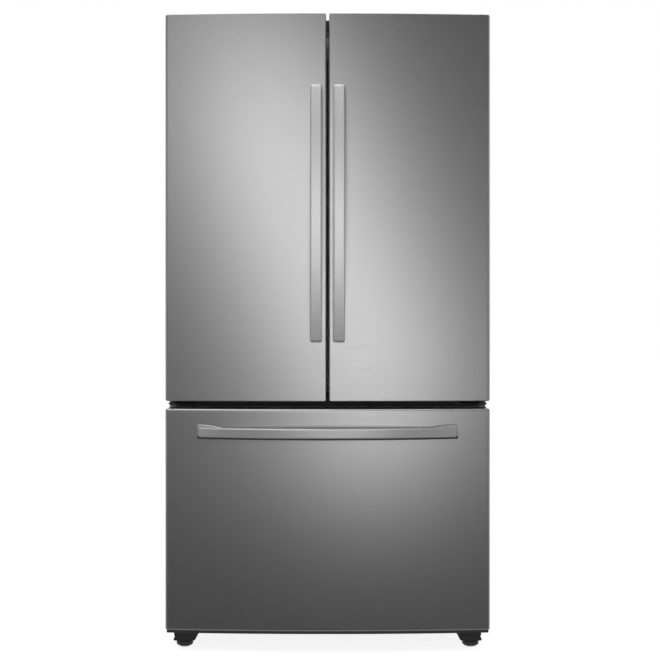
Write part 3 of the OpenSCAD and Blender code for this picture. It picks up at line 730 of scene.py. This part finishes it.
def gasket(prefix, body):
    """A magnetic gasket: a bellows on the door with a flat magnet face towards the cabinet."""
    node = f"{prefix}_gasket"
    low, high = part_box(node)
    w, d = 18 * MM, high.y - low.y
    left = [(0.8, 0.0), (2.6, 0.2), (0.5, 0.4), (2.6, 0.6), (0.0, 0.76), (0.0, 0.92), (0.9, 1.0)]
    section = [(i * MM, low.y + d * t) for i, t in left]
    section += [(w - i * MM, low.y + d * t) for i, t in reversed(left)]
    shape = frame_sweep(low.x, high.x, low.z, high.z, 7 * MM, section)
    return piece(f"{prefix}_gasket_bellows", [shape], body, "gasket_rubber", node, sharp=45)


def drawer_liner_piece():
    low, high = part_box("drawer_skin")
    liner_low, liner_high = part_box("drawer_liner")
    rim_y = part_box("drawer_gasket")[0].y
    dike_y = liner_high.y
    rows = rim_rows(low, high, liner_low.y, rim_y)
    rows += inset_rows(-DRAWER_DIKE_X, DRAWER_DIKE_X, low.z + 83 * MM, high.z - 57 * MM, [
        (-4, 20, rim_y), (0, 17, rim_y + 4 * MM), (0, 17, dike_y - 6 * MM), (2, 15, dike_y - 1.5 * MM),
        (5, 12, dike_y), (11, 9, dike_y), (15, 7, dike_y - 3 * MM), (16, 6, rim_y + 3 * MM),
        (19, 4, rim_y)])
    return piece("drawer_inner_panel", [loft(front_rings(rows))], "freezer_drawer", "white_liner",
                 "drawer_liner", sharp=50)


def drawer_foot_strip():
    """The black strip under the drawer front."""
    low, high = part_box("drawer_skin")
    z0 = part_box("drawer_caps")[0].z
    outline = cap_outline(low, high, 4 * MM, 4 * MM, n=40)
    strip = extruded(outline, z0, low.z + 1.3 * MM, 1.2 * MM)
    return piece("drawer_foot_strip", [strip], "freezer_drawer", "dark_plastic")


# --- inside ------------------------------------------------------------------

def bin_piece(side, level):
    node = f"{side}_bin_{level}"
    low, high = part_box(node)
    bar, bar_y, bar_z = 5 * MM, high.y - 12 * MM, low.z + 62 * MM
    shapes = [moulded_tray(low, high, 2.6 * MM, 16 * MM, lean=4 * MM),
              soft_block((low.x + 5.2 * MM, bar_y, bar_z),
                         (high.x - 5.2 * MM, bar_y + bar, bar_z + bar), 1.2 * MM)]
    piece(f"{node}_tray", shapes, f"{side}_door", "clear_plastic", node, sharp=40)


def crisper_piece(side):
    node = f"crisper_{side}"
    low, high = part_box(node)
    front = 7 * MM
    tray = moulded_tray((low.x, low.y + front, low.z), high, 2.8 * MM, 18 * MM, lean=5 * MM)
    piece(f"{node}_tray", [tray], node, "clear_plastic", node, sharp=40)
    lip = soft_block((low.x + 3 * MM, low.y, high.z - 34 * MM),
                     (high.x - 3 * MM, low.y + front + 1 * MM, high.z - 1 * MM), 2.4 * MM, segments=4)
    grip = soft_block((low.x + 90 * MM, low.y + 0.1 * MM, high.z - 46 * MM),
                      (high.x - 90 * MM, low.y + front, high.z - 28 * MM), 2.4 * MM, segments=4)
    piece(f"{node}_grip", [lip, grip], node, "white_liner")


def shelf_piece(node, prefix):
    """A glass pane in a front trim, a rear trim and two side rails."""
    low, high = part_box(node)
    z = high.z - SHELF_TOP
    glass, trim = 5 * MM, 11 * MM
    pane = soft_block((low.x + 3 * MM, low.y + 4 * MM, z + 0.5 * MM),
                      (high.x - 3 * MM, high.y - 3 * MM, z + glass), 0.8 * MM)
    piece(f"{prefix}_pane", [pane], "cabinet", "shelf_glass", node)
    shapes = [soft_block((low.x, low.y, z - 11 * MM), (high.x, low.y + trim, z + 8 * MM), 2.8 * MM,
                         segments=4),
              soft_block((low.x, high.y - 8 * MM, z - 5 * MM), (high.x, high.y, z + 11 * MM), 1.6 * MM,
                         segments=3)]
    for x in (low.x, high.x - 6 * MM):
        shapes.append(soft_block((x, low.y + 8 * MM, z), (x + 6 * MM, high.y - 6 * MM, z + 6.4 * MM),
                                 1 * MM))
    piece(f"{prefix}_trim", shapes, "cabinet", "white_liner", node)


def crisper_cover_piece():
    node = "crisper_cover"
    shelf_piece(node, node)
    low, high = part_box(node)
    wall = soft_block((-4 * MM, low.y + 18 * MM, low.z), (4 * MM, high.y - 10 * MM, high.z - 14 * MM),
                      1.5 * MM)
    piece("crisper_divider", [wall], "cabinet", "white_liner", node)


def liner_shell(name, node, outline, half_x, r):
    """A moulded liner: an outline of (y, z) given width, open at the front, with a front flange."""
    bm = bmesh.new()
    sides = [[bm.verts.new((x, y, z)) for y, z in outline] for x in (-half_x, half_x)]
    bm.faces.new(sides[0])
    bm.faces.new(list(reversed(sides[1])))
    for i in range(len(outline) - 1):
        bm.faces.new((sides[0][i], sides[1][i], sides[1][i + 1], sides[0][i + 1]))
    inner = [e for e in bm.edges if len(e.link_faces) == 2]
    bmesh.ops.bevel(bm, geom=inner, offset=r, segments=5, affect="EDGES", profile=0.5)
    bmesh.ops.recalc_face_normals(bm, faces=bm.faces)
    low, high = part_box(node)
    x, y = high.x, low.y
    z0, z1 = min(z for _, z in outline), max(z for _, z in outline)
    rows = [(-x, x, low.z, high.z, 3 * MM, y + 1.8 * MM), (-x, x, low.z, high.z, 3 * MM, y + 0.3 * MM),
            (-half_x - 2 * MM, half_x + 2 * MM, z0 - 1.6 * MM, z1 + 1.6 * MM, r + 2 * MM, y + 0.3 * MM)]
    rows += inset_rows(-half_x, half_x, z0, z1, [(-0.4, r / MM, y + 1.2 * MM), (0, r / MM, y + 4 * MM)])
    flange = loft(front_rings(rows), close_first=False, close_last=False)
    shell = merged(name, [shape_of(bm), flange], sharp=50)
    thick = shell.modifiers.new("wall", "SOLIDIFY")
    thick.thickness = 1.4 * MM
    thick.offset = 1
    return finish_piece(shell, "cabinet", "white_liner", node)


def fridge_liner_piece():
    low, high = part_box("fridge_liner")
    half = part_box("shelf_lower")[1].x + 3 * MM
    z0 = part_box("crisper_left")[0].z - 6 * MM
    z1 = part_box("ceiling_light")[1].z
    y0, y1 = low.y, high.y - 2 * MM
    outline = [(y0, z0), (y1, z0), (y1, z1), (y0, z1)]
    liner_shell("fridge_inner_liner", "fridge_liner", outline, half, 14 * MM)
    ledge_y0, ledge_y1 = -140 * MM, 340 * MM
    ledges = []
    for shelf in ("shelf_upper_left", "shelf_lower", "crisper_cover"):
        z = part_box(shelf)[1].z - SHELF_TOP
        ledges += block_pair(half - 7 * MM, half + 0.5 * MM, ledge_y0, ledge_y1, z - 8 * MM, z - 0.1 * MM,
                             2 * MM, segments=3)
        for y in (-120 * MM, 90 * MM, 300 * MM):
            ledges += block_pair(half - 3 * MM, half + 0.5 * MM, y - 8 * MM, y + 8 * MM,
                                 z - 30 * MM, z - 6 * MM, 1.4 * MM)
    piece("fridge_shelf_ledges", ledges, "cabinet", "white_liner")


def freezer_liner_piece():
    """The freezer's liner. Its floor steps up at the rear, over the machine space."""
    low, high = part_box("freezer_liner")
    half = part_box("upper_freezer_drawer")[1].x + 2 * MM
    y0, y1, z1 = low.y, high.y - 2 * MM, high.z - 2 * MM
    step_y, step_z = FREEZER_STEP
    outline = [(y0, FREEZER_FLOOR), (step_y, FREEZER_FLOOR), (step_y, step_z), (y1, step_z), (y1, z1),
               (y0, z1)]
    liner_shell("freezer_inner_liner", "freezer_liner", outline, half, 10 * MM)
    rails = block_pair(half - 12 * MM, half + 0.5 * MM, -230 * MM, 215 * MM,
                       UPPER_RAIL_Z - 8 * MM, UPPER_RAIL_Z, 2 * MM, segments=3)
    piece("freezer_drawer_rails", rails, "cabinet", "white_liner")


def freezer_trays():
    """The deep basket and the upper drawer, each with side rims that hang on its rails."""
    low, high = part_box("freezer_basket")
    side, z = 16.6 * MM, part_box("drawer_slides")[1].z - 7.8 * MM
    shapes = [moulded_tray((low.x + side, low.y, low.z), (high.x - side, high.y, high.z), 3 * MM,
                           22 * MM, lean=6 * MM)]
    shapes += block_pair(high.x - side - 9 * MM, high.x, low.y + 6 * MM, high.y - 5 * MM, z, z + 3 * MM,
                         0.8 * MM)
    piece("freezer_basket_tray", shapes, "freezer_drawer", "white_liner", "freezer_basket", sharp=40)
    node = "upper_freezer_drawer"
    low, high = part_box(node)
    side, z = 44 * MM, UPPER_RAIL_Z + 0.5 * MM
    shapes = [moulded_tray((low.x + side, low.y, low.z), (high.x - side, high.y, high.z), 3 * MM,
                           20 * MM, lean=5 * MM)]
    shapes += block_pair(high.x - side - 7 * MM, high.x, low.y + 15 * MM, high.y - 10 * MM, z, z + 3 * MM,
                         0.8 * MM)
    shapes.append(soft_block((-90 * MM, low.y, high.z - 40 * MM),
                             (90 * MM, low.y + 5 * MM, high.z - 12 * MM), 2 * MM, segments=3))
    piece(f"{node}_tray", shapes, node, "white_liner", node, sharp=40)


def mullion_piece():
    """The folding strip: a hollow moulding with a magnet face, and knuckles on its pins."""
    low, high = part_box("mullion")
    x, y = MULLION_AXIS
    half, e = 9 * MM, 0.6 * MM
    y0, y1 = y + 8 * MM, high.y
    shapes = [soft_block((x - half, y0, low.z), (x + half, y1, high.z), 2.5 * MM, segments=4),
              soft_block((x - half + 0.05 * MM, y0 + 8 * MM, low.z),
                         (x + half - 0.05 * MM, y1 - 8 * MM, low.z + 5 * MM), 1.2 * MM)]
    r, pin_r, z_pin = 6 * MM, 3 * MM, LUG_H + 0.5 * MM
    knuckle = [(r - e, 0), (r, e), (r, LUG_H - e), (r - e, LUG_H)]
    pin = [(pin_r - 0.4 * MM, 0), (pin_r, 0.5 * MM), (pin_r, z_pin + 1 * MM)]
    for z in LUG_LEVELS:
        shapes.append(turned(knuckle, (x, y, z + z_pin), segments=32))
        shapes.append(turned(pin, (x, y, z), segments=24))
        shapes.append(soft_block((x - r, y, z + z_pin), (x + r, y + 10 * MM, z + z_pin + LUG_H),
                                 0.8 * MM))
    piece("mullion_strip", shapes, "mullion", "mullion_plastic", "mullion", sharp=40)


def ceiling_light_piece():
    """A ribbed lens in a flat rounded frame."""
    node = "ceiling_light"
    low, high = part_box(node)
    shapes = [soft_block((low.x + 4 * MM, low.y + 4 * MM, low.z + 1 * MM),
                         (high.x - 4 * MM, high.y - 4 * MM, high.z), 2 * MM)]
    ribs = 24
    for i in range(ribs):
        x = low.x + 8 * MM + (high.x - low.x - 16 * MM) * i / ribs
        shapes.append(soft_block((x, low.y + 7 * MM, low.z), (x + 6 * MM, high.y - 7 * MM, low.z + 3 * MM),
                                 1.2 * MM))
    piece("ceiling_light_lens", shapes, "cabinet", "light_lens", node)
    w, e = 4.5 * MM, 1 * MM
    profile = [(0, high.z), (0, low.z + e), (e, low.z), (w - e, low.z), (w, low.z + e), (w, high.z)]
    rings = plan_rings(low.x, high.x, low.y, high.y, 6 * MM, profile)
    piece("ceiling_light_bezel", [closed_loft(rings)], "cabinet", "white_liner")


# --- outside -----------------------------------------------------------------

def top_pieces():
    """The cover strip between the hinges and the two hinge covers, with their screws."""
    low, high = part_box("top_cover")
    cover = [domed_cover(low, high, 9 * MM, 5 * MM)]
    for x in (-300, -150, 0, 150, 300):
        cover.append(screw((x * MM, high.y - 22 * MM, high.z - 2.6 * MM), (0, 0, 1), 2.4 * MM))
    piece("top_cover_moulding", cover, "cabinet", "dark_plastic", "top_cover")
    pair_low, pair_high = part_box("hinge_covers")
    arm_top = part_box("top_hinge_right")[1].z + 0.1 * MM
    x_pin, y_pin = hinge_axis("right")
    nose_r, n = 19 * MM, 20
    shapes = []
    for s in (-1, 1):
        x0, x1 = sorted((s * (high.x + 4 * MM), s * pair_high.x))
        shapes.append(domed_cover((x0, low.y, pair_low.z), (x1, pair_high.y, pair_high.z), 6 * MM, 4 * MM))
        nose = [(s * x_pin + nose_r * math.cos(math.pi + math.pi * i / n),
                 y_pin + nose_r * math.sin(math.pi + math.pi * i / n)) for i in range(n + 1)]
        nose += [(s * x_pin + nose_r, low.y + 8 * MM), (s * x_pin - nose_r, low.y + 8 * MM)]
        shapes.append(extruded(nose, arm_top, pair_high.z, 0.5 * MM))
        shapes.append(screw(((x0 + x1) / 2, pair_high.y - 30 * MM, pair_high.z - 3 * MM), (0, 0, 1),
                            2.6 * MM))
    piece("hinge_cover_mouldings", shapes, "cabinet", "dark_plastic", "hinge_covers")


def foot(side):
    """A screw-in foot: fluted pad with a soft lower edge, and a threaded stem."""
    node = f"leg_{side}"
    low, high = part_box(node)
    x, y = (low.x + high.x) / 2, (low.y + high.y) / 2
    top = high.z / MM
    pad = [(13, 0), (14.4, 0.4), (21.5, 4.6), (23.2, 6.4), (23.5, 8), (23.5, 14.6), (22.8, 16),
           (20.4, 18.4), (19.2, 19), (5.2, 19)]
    stem = [(4.6, 18)]
    pitch, z = 1.2, 19.5
    while z < top - 2.0:
        stem += [(4.95, z), (4.45, z + pitch / 2)]
        z += pitch
    stem += [(4.3, top - 0.6), (3.6, top)]
    shapes = [turned(in_mm(pad), (x, y, 0), segments=72, flutes=18, flute_depth=0.9 * MM),
              turned(in_mm(stem), (x, y, 0), segments=24)]
    piece(f"{node}_foot", shapes, node, "dark_plastic", node, sharp=40)


def rollers():
    """Two grooved wheels on their axles."""
    low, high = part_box("rear_rollers")
    r = (high.z - low.z) / 2 / MM
    y, z = (low.y + high.y) / 2, (low.z + high.z) / 2
    tread = [(7, -12), (17, -12), (r - 0.8, -11.4), (r, -10), (r, -3), (r - 1.4, -2), (r - 1.4, 2),
             (r, 3), (r, 10), (r - 0.8, 11.4), (17, 12), (15, 9), (9, 9), (7, 12)]
    axle = [(3.4, -18), (4, -17.4), (4, 17.4), (3.4, 18)]
    hub = [(3.9, -11.5), (7.1, -11.5), (7.1, 11.5), (3.9, 11.5)]
    shapes = []
    for s in (-1, 1):
        centre = (s * (high.x - 18 * MM), y, z)
        shapes.append(turned(in_mm(tread), centre, (1, 0, 0), segments=48, bore=True))
        shapes.append(turned(in_mm(axle), centre, (1, 0, 0), segments=24))
        shapes.append(turned(in_mm(hub), centre, (1, 0, 0), segments=32))
    piece("rear_roller_wheels", shapes, "rear_rollers", "dark_plastic", "rear_rollers", sharp=40)


def rear_panel_piece():
    """A pressed sheet: softly raised ribs, a hemmed edge and screws round it."""
    low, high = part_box("rear_panel")
    face = high.y - 1 * MM
    rows = inset_rows(low.x, high.x, low.z, high.z, [
        (0, 4, low.y), (0, 4, face - 0.2 * MM), (0.5, 4, face), (6, 4, face), (7, 4, face - 0.5 * MM)])
    shapes = [loft(front_rings(rows))]
    rib_half = 30 * MM
    for x in (-300 * MM, -100 * MM, 100 * MM, 300 * MM):
        rib = inset_rows(x - rib_half, x + rib_half, low.z + 85 * MM, high.z - 88 * MM, [
            (-3, 16, face - 0.6 * MM), (0, 14, high.y - 0.6 * MM), (1.5, 13, high.y), (22, 7, high.y)])
        shapes.append(loft(front_rings(rib)))
    piece("rear_panel_sheet", shapes, "cabinet", "zinc_sheet", "rear_panel", sharp=50)
    rows_up, columns = 7, 5
    inset, y = 12 * MM, face - 1.2 * MM
    spots = []
    for i in range(rows_up):
        z = low.z + 14 * MM + (high.z - low.z - 28 * MM) * i / (rows_up - 1)
        spots += [(low.x + inset, y, z), (high.x - inset, y, z)]
    for i in range(1, columns):
        spots.append((low.x + (high.x - low.x) * i / columns, y, high.z - inset))
    heads = [screw(spot, (0, 1, 0), 2.4 * MM) for spot in spots]
    piece("rear_panel_screws", heads, "cabinet", "zinc_sheet", material=screw_metal)
    low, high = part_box("compressor_cover")
    heads = []
    for x in (low.x + inset, -150 * MM, 150 * MM, high.x - inset):
        for z in (low.z + inset, high.z - inset):
            heads.append(screw((x, high.y - 2.1 * MM, z), (0, 1, 0), 2.2 * MM))
    piece("compressor_cover_screws", heads, "cabinet", "zinc_sheet", material=screw_metal)


def tube(points, r, segments=14):
    """A round tube along points, with flat ends."""
    rings = []
    for i, p in enumerate(points):
        ahead = Vector(points[min(i + 1, len(points) - 1)]) - Vector(points[max(i - 1, 0)])
        turn = ahead.to_track_quat("Z", "X").to_matrix()
        rings.append([Vector(p) + turn @ polar(r, 2 * math.pi * k / segments) for k in range(segments)])
    return loft(rings)


def compressor_piece():
    """A domed steel can on rubber feet, with a terminal cover and two pipe stubs."""
    x, y = COMPRESSOR_AXIS
    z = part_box("compressor")[0].z + 6 * MM
    can = [(66, 3), (76, 5), (78, 12), (78, 62), (79.5, 63), (79.5, 69), (78, 70), (78, 122), (76, 134),
           (70, 146), (58, 157), (40, 163), (20, 165.5), (4, 166)]
    foot_loop = [(9, -6), (12, -5), (11, -3.6), (12, -2.2), (6, 1), (6, 5), (3, 6)]
    shapes = [turned(in_mm(can), (x, y, z), segments=56),
              soft_block((x - 95 * MM, y - 78 * MM, z - 3 * MM), (x + 95 * MM, y + 78 * MM, z + 1 * MM),
                         1 * MM)]
    for sx in (-80 * MM, 80 * MM):
        for sy in (-62 * MM, 62 * MM):
            shapes.append(turned(in_mm(foot_loop), (x + sx, y + sy, z), segments=24))
    shapes.append(soft_block((x + 58 * MM, y - 26 * MM, z + 46 * MM),
                             (x + 92 * MM, y + 26 * MM, z + 104 * MM), 3 * MM, segments=3))
    piece("compressor_can", shapes, "cabinet", "black_metal", "compressor", sharp=40)
    pipes = []
    bend_r, pipe_z = 10, 90
    for angle, lift in ((200, 34), (240, 26)):
        profile = [(70, 0), (78, 0), (84, 0)]
        for i in range(1, 7):
            t = math.radians(15 * i)
            profile.append((84 + bend_r * math.sin(t), bend_r * (1 - math.cos(t))))
        profile.append((profile[-1][0], lift))
        c, s = math.cos(math.radians(angle)), math.sin(math.radians(angle))
        path = [(x + r * c * MM, y + r * s * MM, z + (pipe_z + up) * MM) for r, up in profile]
        pipes.append(tube(path, 4 * MM))
    piece("compressor_pipes", pipes, "cabinet", "zinc_sheet", material=copper)


def fan_wheel(node, axis, hub_r, tip_r, depth, slot):
    """A fan wheel: a domed hub with a bore, and twisted blades that widen outwards."""
    low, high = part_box(node)
    centre = Vector((low + high) / 2)
    turn = turn_to(axis)
    bore, half, blades = 3.1 * MM, depth / 2, 5
    root_r = hub_r * 0.94
    hub = [(bore, -half), (hub_r * 0.92, -half), (hub_r, -half * 0.85), (hub_r, half * 0.5),
           (hub_r * 0.8, half * 0.9), (hub_r * 0.5, half), (bore, half)]
    shapes = [turned(hub, centre, axis, segments=36, bore=True)]
    for b in range(blades):
        rows = []
        for i in range(7):
            t = i / 6
            r = root_r + (tip_r - root_r) * t
            wide = math.radians(34 + 12 * math.sin(math.pi * min(1, t * 1.15)))
            pitch = half * (0.86 - 0.3 * t)
            loop = []
            for face in (1, -1):
                for k in range(7)[::face]:
                    u = k / 6 - 0.5
                    a = 2 * math.pi * b / blades + wide * u + math.radians(10 * t)
                    thick = face * 0.6 * MM * (1.15 - (2 * u) ** 2)
                    h = pitch * 2 * u + thick - 0.8 * MM * math.cos(math.pi * u)
                    loop.append(turn @ polar(r, a, h) + centre)
            rows.append(loop)
        shapes.append(loft(rows))
    piece(f"{node}_wheel", shapes, node, slot, node, sharp=45)


def drain_pan_piece():
    low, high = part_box("drain_pan")
    tray = moulded_tray(low, high, 2 * MM, 12 * MM, lean=2 * MM, rim=1.6 * MM)
    piece("drain_pan_tray", [tray], "cabinet", "dark_plastic", "drain_pan", sharp=40)


# --- stage ------------------------------------------------------------------

def make_floor():
    mesh = bpy.data.meshes.new("floor")
    half = 30
    z = -0.0005
    corners = [(-half, -half, z), (half, -half, z), (half, half, z), (-half, half, z)]
    mesh.from_pydata(corners, [], [(0, 1, 2, 3)])
    floor = add_object("floor", mesh)
    pale = principled("floor_pale", (0.30, 0.30, 0.30), 0.7, grain_scale=3, shade=0.01, bump=0.0,
                      Emission_Color=(1, 1, 1, 1), Emission_Strength=0.86)
    floor.data.materials.append(pale)
    floor.visible_glossy = False


def area_light(name, location, target, size, power, spin=0.0):
    """A rectangular light aimed at a point, and turned by spin about its own direction."""
    data = bpy.data.lights.new(name, "AREA")
    data.shape = "RECTANGLE"
    data.size, data.size_y = size
    data.energy = power
    light = bpy.data.objects.new(name, data)
    aim = (Vector(target) - Vector(location)).to_track_quat("-Z", "Y")
    light.rotation_euler = (aim.to_matrix() @ Matrix.Rotation(spin, 3, "Z")).to_euler()
    light.location = location
    bpy.context.scene.collection.objects.link(light)
    return light


# How bright the studio is from straight in front of the object (0) to straight behind it (1)
STUDIO_SHADES = ((0.08, 0.055), (0.17, 0.32), (0.36, 0.32), (0.45, 0.06), (0.53, 0.06), (0.62, 0.9))


def make_world():
    """White to the camera. The steel reflects dark and pale shades that run from front to back."""
    world = bpy.data.worlds.new("studio")
    bpy.context.scene.world = world
    world.use_nodes = True
    tree = world.node_tree
    tree.nodes.clear()
    out = add_node(tree, "OutputWorld")
    mix = add_node(tree, "MixShader")
    path = add_node(tree, "LightPath")
    seen = add_node(tree, "Background", Color=(1, 1, 1, 1))
    lit = add_node(tree, "Background")
    coords = add_node(tree, "TexCoord")
    split = add_node(tree, "SeparateXYZ")
    ramp = add_node(tree, "ValToRGB")
    turn = add_node(tree, "MapRange", From_Min=-1, From_Max=1)
    wire(tree, coords, "Generated", split, "Vector")
    wire(tree, split, "Y", turn, "Value")
    wire(tree, turn, "Result", ramp, "Fac")
    first, last = ramp.color_ramp.elements
    first.position, last.position = STUDIO_SHADES[0][0], STUDIO_SHADES[-1][0]
    for position, _ in STUDIO_SHADES[1:-1]:
        ramp.color_ramp.elements.new(position)
    for stop, (position, shade) in zip(ramp.color_ramp.elements, STUDIO_SHADES):
        stop.color = (shade, shade, shade, 1)
    wire(tree, ramp, "Color", lit, "Color")
    wire(tree, path, "Is Camera Ray", mix, "Fac")
    wire(tree, lit, "Background", mix, 1)
    wire(tree, seen, "Background", mix, 2)
    wire(tree, mix, "Shader", out, "Surface")


def make_lights():
    """Left, right and fill light the object without being seen in its steel."""
    area_light("band", (-0.06, -4.77, 1.30), (-0.06, 0, 1.30), (2.9, 1.15), 20.6, math.radians(-53))
    area_light("low", (0, -4.3, 0.1), (0, 0, 0.1), (3.0, 0.16), 0.35)
    area_light("corner", (-1.35, -4.77, 2.75), (-1.35, 0, 2.75), (1.3, 0.9), 2.4)
    for x in (-3.5, 3.5):
        area_light("strip", (x, -3.4, 1.2), (0, -0.4, 1.0), (0.45, 2.6), 4)
    area_light("top", (-0.6, -1.6, 4.2), (0, 0, 0.9), (3.2, 2.0), 34)
    left = area_light("left", (-4.2, -0.8, 1.6), (0, 0, 0.9), (1.6, 2.6), 22)
    right = area_light("right", (4.2, -0.8, 1.6), (0, 0, 0.9), (1.6, 2.6), 20)
    fill = area_light("fill", (0, -4.4, 2.4), (0, 0, 0.8), (2.4, 2.4), 26)
    area_light("back", (0, 4.5, 2.6), (0, 0, 0.9), (3.2, 2.4), 30)
    for light in (left, right, fill):
        light.visible_glossy = False


# --- build ------------------------------------------------------------------

make_camera()
make_floor()
make_world()
make_lights()
paint_cad_nodes()
for side in ("left", "right"):
    steel_front(f"{side}_door_front", f"{side}_door_skin", f"{side}_door")
    door_handle(side)
    end_caps(f"{side}_door", f"{side}_door")
    door_liner_piece(side)
    gasket(f"{side}_door", f"{side}_door")
    for level in BIN_LEVELS:
        bin_piece(side, level)
    crisper_piece(side)
    foot(side)
steel_front("drawer_front", "drawer_skin", "freezer_drawer")
drawer_handle()
end_caps("drawer", "freezer_drawer")
drawer_foot_strip()
drawer_liner_piece()
gasket("drawer", "freezer_drawer")
for node, prefix in (("shelf_upper_left", "upper_left_shelf"), ("shelf_upper_right", "upper_right_shelf"),
                     ("shelf_lower", "lower_shelf")):
    shelf_piece(node, prefix)
crisper_cover_piece()
fridge_liner_piece()
freezer_liner_piece()
freezer_trays()
mullion_piece()
ceiling_light_piece()
top_pieces()
rollers()
rear_panel_piece()
compressor_piece()
fan_wheel("condenser_fan", (1, 0, 0), 16 * MM, 60 * MM, 20 * MM, "black_metal")
fan_wheel("evaporator_fan", (0, -1, 0), 12 * MM, 38 * MM, 13 * MM, "dark_plastic")
drain_pan_piece()

bpy.context.scene.view_settings.view_transform = "Standard"
